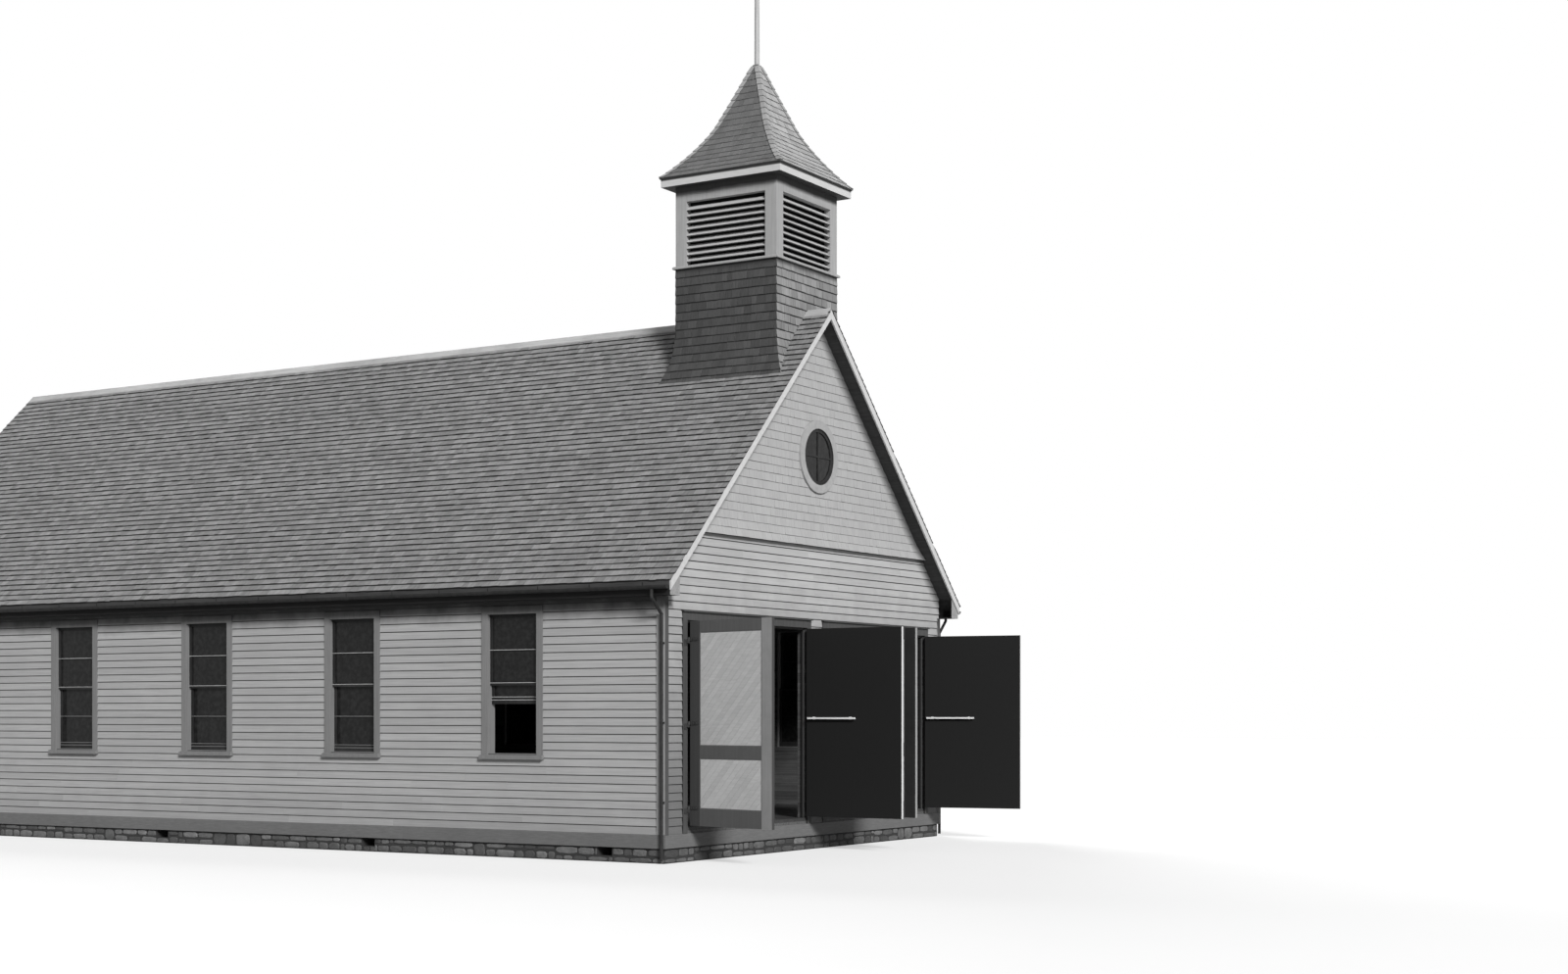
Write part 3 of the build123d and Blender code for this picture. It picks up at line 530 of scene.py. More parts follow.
lengthwise = (40, 1.5, 40)              # grain along the building
plumb = (40, 40, 1.5)                   # upright grain
alongRun = (1.6, 45, 45)                # grain along a board's own run
roundabout = (8, 8, 60)                 # level grain on all four sides
clapboards = {
    "boards": True, "stretch": alongRun, "stain": 0.22, "stainScale": 0.35, "spread": 0.42,
    "stainTone": 0.18, "toneLow": 0.93, "toneHigh": 1.05, "lap": 0.11, "drip": 0.05, "lapTone": 0.02,
}
shingles = {"boards": True, "stretch": (3, 60, 60)}
# faces across x, faces across y, and faces turned down; finishes below multiply them by facingShade, mostly
# as painted shade
sideFaces = {"facing": (1, 0, 0), "facingBoth": 1.0}
endFaces = {"facing": (0, 1, 0), "facingBoth": 1.0}
underside = {"facing": (0, 0, -1)}
timbers = {
    # painted shade band under the eaves
    "clapboardSide": dict(clapboards, light=0.34, dark=0.285, paintedShade=0.95, paintedShadeTop=3.66, paintedShadeReach=0.3,
                          splash=0.4, splashReach=0.9),
    "clapboardRear": dict(clapboards, light=0.385, dark=0.335, splash=0.4, splashReach=0.9),
    # painted shade beside the right-hand rake; the front's splash reaches 4.2 m and makes the wall darker
    # towards the bottom
    "clapboardFront": dict(clapboards, light=0.385, dark=0.335, splash=0.9, splashReach=4.2,
                           splashTone=0.06, rakeShade=0.85),
    # painted shade beside the right-hand rake
    "gableShingle": dict(shingles, light=0.365, dark=0.32, stain=0.15, stainTone=0.25, toneLow=0.96,
                         toneHigh=1.03, bump=0.001, lap=0.06, lapTone=0.13, rakeShade=0.85),
    "roofShingle": dict(shingles, light=0.26, dark=0.155, stain=0.25, stainTone=0.11, spread=0.5,
                        toneLow=0.78, toneHigh=1.2, bump=0.0015, rough=(0.75, 0.95), lap=0.13, drip=0.09,
                        lapTone=0.014),
    "roofDeck": dict(light=0.05, dark=0.03, stretch=lengthwise, rough=(0.8, 0.95)),
    # faces across x darker, partly weathered shingles and partly painted shade; painted shade band under the
    # belfry sill
    "cupolaShingle": dict(shingles, **sideFaces, light=0.27, dark=0.19, stain=0.35, stainTone=0.11,
                          toneLow=0.75, toneHigh=1.15, bump=0.0012, rough=(0.7, 0.9), facingShade=0.25,
                          facingEdge=0.5, paintedShade=0.85, paintedShadeTop=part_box("belfry_sill")[0].z - 0.03,
                          paintedShadeReach=0.06, lap=0.13, drip=0.06, lapTone=0.015),
    # faces across x darker: weathered shingles and painted shade
    "cupolaRoofShingle": dict(shingles, **sideFaces, light=0.38, dark=0.30, stain=0.25, stainTone=0.2,
                              toneLow=0.82, toneHigh=1.12, bump=0.0012, rough=(0.7, 0.9), facingShade=0.36,
                              facingEdge=0.4, lap=0.08, drip=0.04, lapTone=0.09),
    "hipCap": dict(shingles, light=0.34, dark=0.26, toneLow=0.85, toneHigh=1.1, lap=0.06, lapTone=0.1),
    # near black as the painted shadow line between the bell roof's shingles and the cornice
    "cupolaEdge": dict(light=0.03, dark=0.02, stretch=roundabout, stain=0.3, stainTone=0.05),
    # painted shade band over the head casings under the eaves
    "windowTrim": dict(light=0.18, dark=0.145, stretch=plumb, stainTone=0.08, paintedShade=0.85, paintedShadeTop=3.64,
                       paintedShadeReach=0.2),
    # front faces darker and side faces lighter, as painted shade and painted light; painted shade band under
    # the eaves
    "cornerTrim": dict(endFaces, light=0.30, dark=0.24, stretch=plumb, stainTone=0.1, paintedShade=0.9,
                       facingShade=0.25),
    # faces across x, the jambs, darker as painted shade
    "doorTrim": dict(sideFaces, light=0.074, dark=0.056, stretch=plumb, stainTone=0.03, facingShade=0.3,
                     specular=0.12),
    "baseBoard": dict(light=0.14, dark=0.108, stretch=(6, 6, 60), stain=0.4, stainTone=0.08, splash=0.5,
                      splashReach=0.35),
    "rakePaint": dict(light=0.54, dark=0.47, stretch=(20, 40, 20), stainTone=0.25),
    # rake soffits near black as painted shade
    "soffitShadePaint": dict(light=0.065, dark=0.045, stretch=(30, 2, 30), stainTone=0.03, specular=0.1),
    # eave boxes near black as painted shade under the eaves; their end boards, facing y, lifted to light
    # paint
    "eaveShadePaint": dict(endFaces, light=0.022, dark=0.015, stretch=lengthwise, stainTone=0.01, specular=0.06,
                      facingShade=15.0),
    "sashPaint": dict(light=0.02, dark=0.012, stretch=plumb, rough=(0.5, 0.7), specular=0.1),
    "sashBead": dict(light=0.36, dark=0.30, boards=True, stretch=alongRun, toneLow=0.35, toneHigh=1.15),
    # dark inside timber, darkened further as painted shade of the dim inside
    "bareTimber": dict(light=0.08, dark=0.045, stretch=lengthwise, stain=0.4, stainTone=0.02,
                       rough=(0.75, 0.95), bump=0.001, pitch=0.142, specular=0.1),
    "sawnJoists": dict(light=0.12, dark=0.06, stretch=lengthwise, stain=0.4, stainTone=0.03,
                       rough=(0.75, 0.95), bump=0.001),
    # floor boards, dark and darkened further as painted shade of the dim inside
    "floorBoards": dict(light=0.05, dark=0.028, boards=True, stretch=alongRun, stain=0.5, stainTone=0.04,
                        toneLow=0.75, toneHigh=1.15, rough=(0.6, 0.9), bump=0.001),
    # painted shade band under the cupola's cornice
    "belfryPaint": dict(light=0.34, dark=0.28, stretch=plumb, stain=0.25, stainTone=0.15, paintedShade=0.92,
                        paintedShadeTop=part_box("cupola_cornice")[0].z - 0.075, paintedShadeReach=0.07),
    # slat undersides darkened as painted shade
    "louvrePaint": dict(underside, light=0.43, dark=0.36, stretch=roundabout, stainTone=0.2,
                        facingShade=0.15, facingEdge=0.4),
    # underside darkened as painted shade, and a painted shade line along the top of the fascia under the
    # roof's edge
    "cornicePaint": dict(underside, light=0.54, dark=0.47, stretch=roundabout, stainTone=0.25,
                         facingShade=0.06, paintedShade=0.9, paintedShadeTop=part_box("cupola_cornice")[1].z - 0.018,
                         paintedShadeReach=0.014),
    "polePaint": dict(light=0.42, dark=0.34, stretch=plumb, stain=0.25, stainTone=0.15),
    "ridgeBoard": dict(light=0.44, dark=0.34, stretch=lengthwise, stain=0.4, stainTone=0.14),
    "barPaint": dict(light=0.72, dark=0.62, stretch=lengthwise, stain=0.25, stainTone=0.3),
    "doorBoards": dict(light=0.50, dark=0.43, boards=True, stretch=alongRun, toneLow=0.93, toneHigh=1.05,
                       stain=0.25, stainTone=0.25),
    "doorBeads": dict(light=0.12, dark=0.09, stretch=plumb),
}
finishes = {name: timber(name, **look) for name, look in timbers.items()}
finishes.update({
    "roundCasing": ringFinish("roundCasing", 6.030, 0.4315, light=0.34, dark=0.28, stretch=(12, 12, 12),
                              stainTone=0.15),
    "stone": stoneFinish("rubbleStone", 0.13, 0.05, 9.0, 0.008),
    "mortar": mortarFinish("mortarJoint", 0.018),
    "tin": metalFinish("paintedTin", 0.026, 0.017, 0.0, (0.5, 0.7)),
    "iron": metalFinish("hingeIron", 0.07, 0.04, 0.3, (0.45, 0.7)),
    "pane": paneFinish("windowPane"),
    "screen": screenFinish("wireScreen", 0.006, 0.002),
})
print("finishes made:", len(finishes))


# Clapboards

backDepth = -0.001                      # how far the back of a board or shingle is sunk in the wall or roof
siding = {
    "exposure": 0.116,
    "butt": 0.017,
    "top": 0.003,
    "uneven": 0.0016,
    "tuck": 0.004,                      # how far a board runs up behind the next one
    "shortest": 1.6,
    "longest": 4.9,
    "joint": 0.0015,
    "leastHeight": 0.002,
    "leastArea": 0.0002,
    "overSkirt": 0.02,                  # how far the end walls' boards run up behind the gable's skirt
    "seed": 11,
}
windows = {
    "first": house["frontY"] + 2.65,
    "pitch": 3.065,
    "count": 5,
    "rearX": 1.9354,
    "casingHalf": 0.555,
    "casingTop": 3.625,
    "sillHalf": 0.570,
    "sillBottom": 1.420,
    "sillTop": 1.485,
}
doorways = {
    "centre": 1.9354,
    "half": 1.760,
    "casingTop": 3.505,
    "dripTop": 3.530,
    "dripEar": 0.010,
}
sideWindows = [windows["first"] + k * windows["pitch"] for k in range(windows["count"])]
windowsOf = {"left": sideWindows, "right": sideWindows, "rear": [-windows["rearX"], windows["rearX"]]}


def windowHoles(places):
    w = windows
    holes = []
    for u in places:
        holes.append((u - w["casingHalf"], u + w["casingHalf"], w["sillTop"], w["casingTop"]))
        holes.append((u - w["sillHalf"], u + w["sillHalf"], w["sillBottom"], w["sillTop"]))
    return holes


def boardsAlong(start, end, style, rng):    # start and end of each board in one run
    while start < end - 0.001:
        stop = start + rng.uniform(style["shortest"], style["longest"])
        if end - stop < style["shortest"] / 2:
            stop = end
        yield start, stop
        start = stop


def layClapboards(heap, side, u0, u1, v1, holes, cuts, rng):
    v0 = house["baseTop"]
    chart = wallChart(side)
    taper = (siding["top"] - siding["butt"]) / siding["exposure"]
    course = 0
    while v0 + course * siding["exposure"] < v1 - siding["leastHeight"]:
        low = v0 + course * siding["exposure"]
        high = min(low + siding["exposure"], v1)
        parts = [(u0, u1, low, high)]
        for hole in holes:
            parts = withoutHole(parts, hole)
        for a, b, lower, upper in parts:
            if upper == high < v1 - siding["leastHeight"]:
                upper = high + siding["tuck"]
            uneven = siding["uneven"] if lower == low > v0 else None
            for start, end in boardsAlong(a, b, siding, rng):
                left, right = (rng.uniform(-uneven, uneven) if uneven else 0 for _ in range(2))
                stop = end - siding["joint"]
                outline = [(start, lower + left), (stop, lower + right), (stop, upper), (start, upper)]
                for cut in cuts:
                    outline = clipped(outline, *cut)
                if isWorthMaking(outline, siding["leastArea"]):
                    addPlate(heap, chart, outline, lambda v: siding["butt"] + taper * (v - low), backDepth,
                             rng, (low, siding["exposure"]))
        course += 1


def makeClapboards():
    start, end = house["frontY"] + house["cornerSide"], house["rearY"] - house["cornerSide"]
    for side in ("left", "right"):
        heap = newHeap()
        rng = random.Random(siding["seed"] + len(side))
        layClapboards(heap, side, start, end, house["cornerTop"], windowHoles(windowsOf[side]), [], rng)
        makePiece("clapboards_" + side, heap, "clapboardSide")
    doorHoles = []
    half, top = doorways["half"], doorways["casingTop"]
    reach = half + doorways["dripEar"]
    for centre in (-doorways["centre"], doorways["centre"]):
        doorHoles.append((centre - half, centre + half, 0, top))
        doorHoles.append((centre - reach, centre + reach, top, doorways["dripTop"]))
    cuts = [(1, 1, underRake), (-1, 1, underRake)]
    outer = house["wallX"]
    inner = outer - house["cornerFront"]
    corners = [(-outer, -inner, 0, house["cornerTop"]), (inner, outer, 0, house["cornerTop"])]
    top = house["skirtFoot"] + siding["overSkirt"]
    for side, holes in (("front", doorHoles), ("rear", windowHoles(windowsOf["rear"]))):
        heap = newHeap()
        rng = random.Random(siding["seed"] + 20 + len(side))
        layClapboards(heap, side, -outer, outer, top, holes + corners, cuts, rng)
        makePiece("clapboards_" + side, heap, "clapboard" + side.capitalize())


makeClapboards()


# Shingles: a course is a strip between two levels of a chart, cut by half planes

def layCourse(heap, chart, u0, u1, v0, v1, style, rng, cutsAt=None):
    u = u0 - rng.uniform(0, style["wide"])
    while u < u1:
        width = rng.uniform(style["narrow"], style["wide"])
        a = max(u, u0)
        b = min(u + width - style["gap"], u1)
        u += width
        if b - a < style["leastWidth"]:
            continue
        low = v0 + rng.uniform(-style["ragged"], style["ragged"])
        butt = style["butt"] * rng.uniform(0.75, 1.25)
        slope = (style["top"] - butt) / (v1 - low)
        outline = [(a, low), (b, low), (b, v1), (a, v1)]
        for cut in (cutsAt((a + b) / 2) if cutsAt else []):
            outline = clipped(outline, *cut)
        if isWorthMaking(outline, style["leastArea"]):
            addPlate(heap, chart, outline, lambda v: butt + slope * (v - low), backDepth, rng,
                     (low, style["exposure"]), upright=True)


def coursesUp(start, end, style, least):    # foot and head of each course between two levels
    while start < end - least:
        yield start, min(start + style["exposure"] + style["lap"], end)
        start += style["exposure"]


roofing = {
    "exposure": 0.130,
    "narrow": 0.085,
    "wide": 0.195,
    "gap": 0.003,
    "butt": 0.017,
    "top": 0.002,
    "ragged": 0.004,
    "lap": 0.022,
    "leastWidth": 0.012,
    "leastArea": 0.0004,
    "overhang": 0.016,
    "rakeOver": 0.012,
    "seed": 31,
}
belfryLow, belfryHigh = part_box("belfry_frame")
cupola = {
    "centre": Vector((0, (belfryLow.y + belfryHigh.y) / 2, 0)),
    "half": belfryHigh.x,
    "shaftTop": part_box("belfry_sill")[0].z,
    "bendZ": 7.990,
    "flareReach": 0.290,
    "flareDrop": 1.000,
    "tuck": 0.02,                       # how far the slopes' shingles run in under the cupola
}


def makeRoofShingles():
    root = math.sqrt(2)
    y0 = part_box("rake_boards")[0].y - roofing["rakeOver"]
    y1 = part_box("rake_boards")[1].y
    middle = cupola["centre"].y
    hidden = cupola["half"] - cupola["tuck"]
    for name, sign in (("left", -1), ("right", 1)):
        def chart(u, v, depth):
            along = (v - depth) / root
            return (sign * (house["eaveX"] - along), u, house["eaveZ"] + (v + depth) / root)
        heap = newHeap()
        rng = random.Random(roofing["seed"] + sign)
        for low, high in coursesUp(-roofing["overhang"], house["eaveX"] * root, roofing, 0.03):
            runs = [(y0, y1)]
            if house["eaveX"] - high / root < hidden:
                runs = [(y0, middle - hidden), (middle + hidden, y1)]
            for start, end in runs:
                layCourse(heap, chart, start, end, low, high, roofing, rng)
        makePiece("roof_shingles_" + name, heap, "roofShingle")


makeRoofShingles()


# A profile is a chain of (out, height) points from its foot up; courses follow it

def arcPoints(start, middle, end, count):
    (x1, y1), (x2, y2), (x3, y3) = start, middle, end
    d = 2 * (x1 * (y2 - y3) + x2 * (y3 - y1) + x3 * (y1 - y2))
    s1, s2, s3 = x1 * x1 + y1 * y1, x2 * x2 + y2 * y2, x3 * x3 + y3 * y3
    cx = (s1 * (y2 - y3) + s2 * (y3 - y1) + s3 * (y1 - y2)) / d
    cy = (s1 * (x3 - x2) + s2 * (x1 - x3) + s3 * (x2 - x1)) / d
    radius = math.hypot(x1 - cx, y1 - cy)
    a0 = math.atan2(y1 - cy, x1 - cx)
    a1 = math.atan2(y3 - cy, x3 - cx)
    turn = (a1 - a0 + math.pi) % (2 * math.pi) - math.pi
    steps = [a0 + turn * k / count for k in range(count + 1)]
    return [(cx + radius * math.cos(a), cy + radius * math.sin(a)) for a in steps]


def flarePoints(out, bendZ, reach, drop, count):    # swept foot, upright at its bend
    radius = (reach * reach + drop * drop) / (2 * reach)
    full = math.asin(drop / radius)
    steps = [full * (1 - k / count) for k in range(count + 1)]
    return [(out + radius * (1 - math.cos(a)), bendZ - radius * math.sin(a)) for a in steps]


def measured(profile):                  # each point with its distance along the profile: (s, out, height)
    chain = [(0.0, *profile[0])]
    for (r0, z0), (r1, z1) in zip(profile, profile[1:]):
        chain.append((chain[-1][0] + math.hypot(r1 - r0, z1 - z0), r1, z1))
    return chain


def alongChain(chain, s):
    for (s0, r0, z0), (s1, r1, z1) in zip(chain, chain[1:]):
        if s < s1:
            t = (s - s0) / (s1 - s0)
            return (r0 + t * (r1 - r0), z0 + t * (z1 - z0))
    return chain[-1][1:]


def normalOf(low, high):
    rise = (high[0] - low[0], high[1] - low[1])
    size = math.hypot(*rise)
    return rise, (rise[1] / size, -rise[0] / size)


def courseOn(chain, s0, s1, place):     # foot, head and chart of one course
    low = alongChain(chain, max(s0, 0))
    high = alongChain(chain, s1)
    rise, normal = normalOf(low, high)

    def chart(u, s, depth):
        t = (s - s0) / (s1 - s0)
        return place(u, low[0] + t * rise[0] + depth * normal[0], low[1] + t * rise[1] + depth * normal[1])
    return low, high, chart


def hipCuts(low, high, s0, s1):         # |u| stays within the half width, which changes up the course
    slope = (high[0] - low[0]) / (s1 - s0)
    reach = low[0] - slope * s0 + 0.004
    return [(1, -slope, reach), (-1, -slope, reach)]


gableStyle = {
    "exposure": 0.128,
    "narrow": 0.075,
    "wide": 0.185,
    "gap": 0.0015,
    "butt": 0.010,
    "top": 0.002,
    "ragged": 0.0015,
    "lap": 0.012,
    "leastWidth": 0.012,
    "leastArea": 0.0004,
    "foot": -0.004,                     # where the first course starts on the skirt
    "skin": 0.030,
    "skirtReach": 0.050,
    "skirtDrop": 0.345,
    "bendZ": 4.990,
    "roundZ": 6.030,
    "roundRadius": 0.560,
    "seed": 51,
}


def makeGableShingles():
    style = gableStyle
    skirt = flarePoints(style["skin"], style["bendZ"], style["skirtReach"], style["skirtDrop"], 8)
    chain = measured(skirt + [(style["skin"], underRake)])
    lift = style["bendZ"] - chain[len(skirt) - 1][0]    # height of a point on the upright part less its s
    rake = underRake - lift + 0.004
    for name, wallY, sign in (("front", house["frontY"], -1), ("rear", house["rearY"], 1)):
        rng = random.Random(style["seed"] + sign)
        heap = newHeap()
        for s0, s1 in coursesUp(style["foot"], chain[-1][0], style, 0.02):
            low, high, chart = courseOn(chain, s0, s1, lambda u, out, z: (u, wallY + sign * out, z))
            half = underRake - low[1] + 0.002
            middle = (s0 + s1) / 2 + lift

            def cutsAt(u):
                cuts = [(1, 1, rake), (-1, 1, rake)]
                away = Vector((u, middle - style["roundZ"]))
                if name == "front" and away.length < style["roundRadius"] + 0.2:
                    away.normalize()
                    edge = style["roundRadius"] + away.y * (style["roundZ"] - lift)
                    cuts.append((-away.x, -away.y, -edge))
                return cuts
            layCourse(heap, chart, -half, half, s0, s1, style, rng, cutsAt)
        makePiece("gable_shingles_" + name, heap, "gableShingle")


makeGableShingles()


cupolaStyle = dict(roofing, exposure=0.134, narrow=0.08, wide=0.17, butt=0.011, ragged=0.003, lap=0.014,
                   seed=71)


def cupolaPlace(turn):
    swing = Matrix.Rotation(turn * math.pi / 2, 3, "Z")
    return lambda u, out, z: cupola["centre"] + swing @ Vector((u, -out, z))


def makeCupolaShingles():
    style = cupolaStyle
    exposure = style["exposure"]
    foot = flarePoints(cupola["half"], cupola["bendZ"], cupola["flareReach"], cupola["flareDrop"], 16)
    chain = measured(foot + [(cupola["half"], cupola["shaftTop"])])
    top = chain[-1][0]
    heap = newHeap()
    for turn in range(4):
        rng = random.Random(style["seed"] + turn)
        place = cupolaPlace(turn)
        for k in range(int(top / exposure) + 1):
            s0 = top - (k + 1) * exposure
            s1 = min(s0 + exposure + style["lap"], top)
            if s0 < -exposure / 2:
                continue
            s0 = max(s0, 0)
            low, high, chart = courseOn(chain, s0, s1, place)
            sides = hipCuts(low, high, s0, s1)
            rise = (high[1] - low[1]) / (s1 - s0)
            start = house["ridgeZ"] - low[1] + rise * s0

            def cutsAt(u):
                if turn % 2 == 1:       # the faces over the two slopes end on one level line
                    return sides
                sign = 1 if u > 0 else -1
                return sides + [(-sign, -rise, -start)]     # the faces across the ridge end on the slopes
            if turn % 2 == 0 or high[1] + high[0] >= house["ridgeZ"]:
                layCourse(heap, chart, -low[0], low[0], s0, s1, style, rng, cutsAt)
    makePiece("cupola_base_shingles", heap, "cupolaShingle")


makeCupolaShingles()


bellRoof = {
    "bottom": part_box("cupola_roof")[0].z,
    "eave": (1.092, 0.022),             # these five are (out, height over the bottom)
    "sweep": (0.750, 0.401),
    "shoulder": (0.472, 0.829),
    "crown": (0.240, 1.384),
    "tip": (0.042, 1.884),
    "hipWidth": 0.060,
    "hipButt": 0.026,
    "hipTop": 0.015,
    "foot": -0.010,
}


def addHipCap(heap, turn, low, high, rng):      # folded cap over the hip at a face's right-hand end
    normal = normalOf(low, high)[1]
    here, beyond = cupolaPlace(turn), cupolaPlace(turn + 1)
    first = len(heap["points"])
    tone = rng.random()
    for end, (out, z) in enumerate((low, high)):
        width = min(bellRoof["hipWidth"], out)
        for depth in ((bellRoof["hipButt"], bellRoof["hipTop"])[end], backDepth):
            o, h = out + depth * normal[0], z + depth * normal[1]
            for point in (here(out - width, o, h), here(o, o, h), beyond(width - out, o, h)):
                addPoint(heap, point, tone, (z, out, depth), end if depth > 0 else -1)
    for face in ((0, 1, 7, 6), (1, 2, 8, 7), (3, 9, 10, 4), (4, 10, 11, 5), (0, 6, 9, 3), (2, 5, 11, 8),
                 (0, 3, 4, 1), (1, 4, 5, 2), (6, 7, 10, 9), (7, 8, 11, 10)):
        heap["faces"].append(tuple(first + corner for corner in face))


def makeBellRoof():
    style = dict(cupolaStyle, exposure=0.118, seed=91)
    eave, sweep, shoulder, crown, tip = ((bellRoof[key][0], bellRoof["bottom"] + bellRoof[key][1])
                                         for key in ("eave", "sweep", "shoulder", "crown", "tip"))
    chain = measured(arcPoints(eave, sweep, shoulder, 18) + arcPoints(shoulder, crown, tip, 18)[1:])
    heap = newHeap()
    caps = newHeap()
    for turn in range(4):
        rng = random.Random(style["seed"] + turn)
        for s0, s1 in coursesUp(bellRoof["foot"], chain[-1][0], style, 0.02):
            start = max(s0, 0)
            low, high, chart = courseOn(chain, start, s1, cupolaPlace(turn))
            sides = hipCuts(low, high, start, s1)
            reach = low[0] + 0.02
            layCourse(heap, chart, -reach, reach, s0, s1, style, rng, lambda u: sides)
            if s1 < chain[-1][0]:
                addHipCap(caps, turn, low, high, rng)
    makePiece("cupola_roof_shingles", heap, "cupolaRoofShingle")
    makePiece("cupola_hip_caps", caps, "hipCap")


makeBellRoof()


# Rubble foundation

rubble = {
    "narrow": 0.13,
    "wide": 0.40,
    "shortRun": 0.45,
    "longRun": 1.10,
    "wholeShare": 0.25,                 # how often one stone fills the whole height
    "shortWhole": 0.18,
    "longWhole": 0.34,
    "top": 0.207,
    "joint": 0.012,
    "proud": 0.012,
    "corners": 11,
    "leastWidth": 0.03,
    "leastHeight": 0.02,
    "seed": 131,
}
vents = {
    "count": 4,
    "first": 0.9,
    "width": 0.25,
    "clear": 0.01,                      # how far the stones stay back from a vent's sides
    "clearFrom": 0.075,                 # and the level over which they do
}


def addStone(heap, chart, u0, u1, v0, v1, proud, rng):
    count = rubble["corners"]
    tone = rng.random()
    power = rng.uniform(0.45, 0.75)
    rim = []
    for k in range(count):
        angle = 2 * math.pi * (k + rng.uniform(-0.35, 0.35)) / count
        c, s = math.cos(angle), math.sin(angle)
        reach = rng.uniform(0.9, 1.04)
        rim.append((reach * math.copysign(abs(c) ** power, c), reach * math.copysign(abs(s) ** power, s)))
    rings = ((1.0, -0.002), (0.97, 0.4), (0.84, 0.8), (0.5, 1.0))       # (share of the outline, lift)
    for scale, lift in rings:
        for c, s in rim:
            u = (u0 + u1) / 2 + (u1 - u0) / 2 * c * scale
            v = min(max((v0 + v1) / 2 + (v1 - v0) / 2 * s * scale, 0.002), v1 + 0.004)
            depth = lift if lift < 0 else proud * lift * rng.uniform(0.75, 1.2)
            addPoint(heap, chart(u, v, depth), tone, (u, v, depth))
    joinRings(heap, count, len(rings))


def stonesOf(start, end, rng):          # boxes of the stones between two ends of a wall
    boxes = []
    u = start
    while u < end:
        whole = rng.random() < rubble["wholeShare"]
        kind = "Whole" if whole else "Run"
        length = rng.uniform(rubble["short" + kind], rubble["long" + kind])
        stop = end if end - u - length < rubble["shortRun"] / 2 else u + length
        levels = [0.0, rubble["top"]]
        if not whole:
            levels.insert(1, rubble["top"] * rng.uniform(0.35, 0.65))
        for low, high in zip(levels, levels[1:]):
            a = u
            while a < stop - 0.001:
                width = stop - a if whole else rng.uniform(rubble["narrow"], rubble["wide"])
                b = stop if stop - a - width < rubble["narrow"] / 2 else a + width
                foot = low + (rng.uniform(0, 0.014) if low else 0.0)
                boxes.append((a, b, foot, high - rng.uniform(0, 0.010)))
                a = b
        u = stop
    return boxes


def makeRubble():
    low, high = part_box("foundation_sides")
    heap = newHeap()
    rng = random.Random(rubble["seed"])
    spacing = (house["rearY"] - house["frontY"]) / vents["count"]
    gap = rubble["joint"] / 2
    holes = []
    for k in range(vents["count"]):
        vent = house["frontY"] + vents["first"] + k * spacing
        holes.append((vent - vents["clear"], vent + vents["width"] + vents["clear"], vents["clearFrom"], 0.3))
    for side in ("left", "right", "front", "rear"):
        onSide = side in ("left", "right")
        start, end = (low.y, high.y) if onSide else (low.x, high.x)
        chart = wallChart(side, low, high)
        for a, b, lower, upper in stonesOf(start, end, rng):
            pieces = [(a + gap, b - gap, lower + gap, upper - gap)]
            for hole in (holes if onSide else []):
                pieces = withoutHole(pieces, hole)
            for c, d, e, f in pieces:
                if d - c > rubble["leastWidth"] and f - e > rubble["leastHeight"]:
                    addStone(heap, chart, c, d, e, f, rubble["proud"] * rng.uniform(0.5, 1.4), rng)
    makePiece("foundation_stones", heap, "stone")


makeRubble()


# Floor boards stand for the floor node

flooring = {
    "width": 0.133,
    "gap": 0.003,
    "joint": 0.0015,
    "uneven": 0.0015,
    "shortest": 2.4,
    "longest": 4.9,
    "seed": 151,
}


def makeFloor():
    low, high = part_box("floor")
    heap = newHeap()
    rng = random.Random(flooring["seed"])
    count = round((high.x - low.x) / flooring["width"])
    width = (high.x - low.x) / count
    for k in range(count):
        x = low.x + k * width
        side = x + width - flooring["gap"]
        for start, end in boardsAlong(low.y, high.y, flooring, rng):
            thick = high.z - low.z - rng.uniform(0, flooring["uneven"])
            stop = end - flooring["joint"]
            outline = [(start, x), (stop, x), (stop, side), (start, side)]
            addPlate(heap, lambda u, v, depth: (v, u, low.z + depth), outline, lambda v: thick, 0.0, rng)
    piece = makePiece("floor_boards", heap, "floorBoards")
    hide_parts("floor")


makeFloor()


# Door leaves: diagonal boards and a bead in each panel, bolts through the straps

leafSizes = {
    "outerFace": 0.020,
    "setback": 0.014,
    "panelLeft": 0.205,
    "panelRight": 1.440,
    "panels": ((0.752, 1.455), (1.630, 3.215)),
    "board": 0.084,
    "boardGap": 0.003,
    "boardDepth": 0.007,
    "bead": 0.016,
    "seed": 171,
}
leafTones = {
    # the hinge stile darker than the rails as painted shade
    "hingeStile": 0.055,
    "rails": 0.10,
    # door_2_left's free stile near black as painted shade of the next leaf
    "freeStile": {"door_1_left": 0.26, "door_1_right": 0.26, "door_2_left": 0.02, "door_2_right": 0.20},
    # free edges painted light and shade, door_1_right's a painted highlight
    "freeEdge": {"door_1_left": 0.05, "door_1_right": 0.60, "door_2_left": 0.26, "door_2_right": 0.16},
    "inside": 0.013,
    "specular": 0.08,
}
hardware = {
    "hinges": (0.760, 1.943, 3.120),    # middles of the strap hinges
    "boltsAlong": (0.070, 0.140),
    "boltRadius": 0.008,
    "boltHeight": 0.005,
    "boltCorners": 12,
    "strapFace": 0.012,
}
jointOf = {joint["child"]: joint for joint in frame["joints"]}
leafNames = ["door_1_left", "door_1_right", "door_2_left", "door_2_right"]


def leafFrame(leaf):                    # x from the hinge along the leaf, y inward from its outer side
    joint = jointOf[leaf]
    side = -1 if leaf.endswith("left") else 1
    opened = math.radians(-joint["range_deg"][0]) * side
    hinge = Matrix.Translation((joint["pos_m"][0], joint["pos_m"][1], 0))
    return hinge @ Matrix.Rotation(opened, 4, "Z") @ Matrix.Scale(-side, 4, (1, 0, 0))


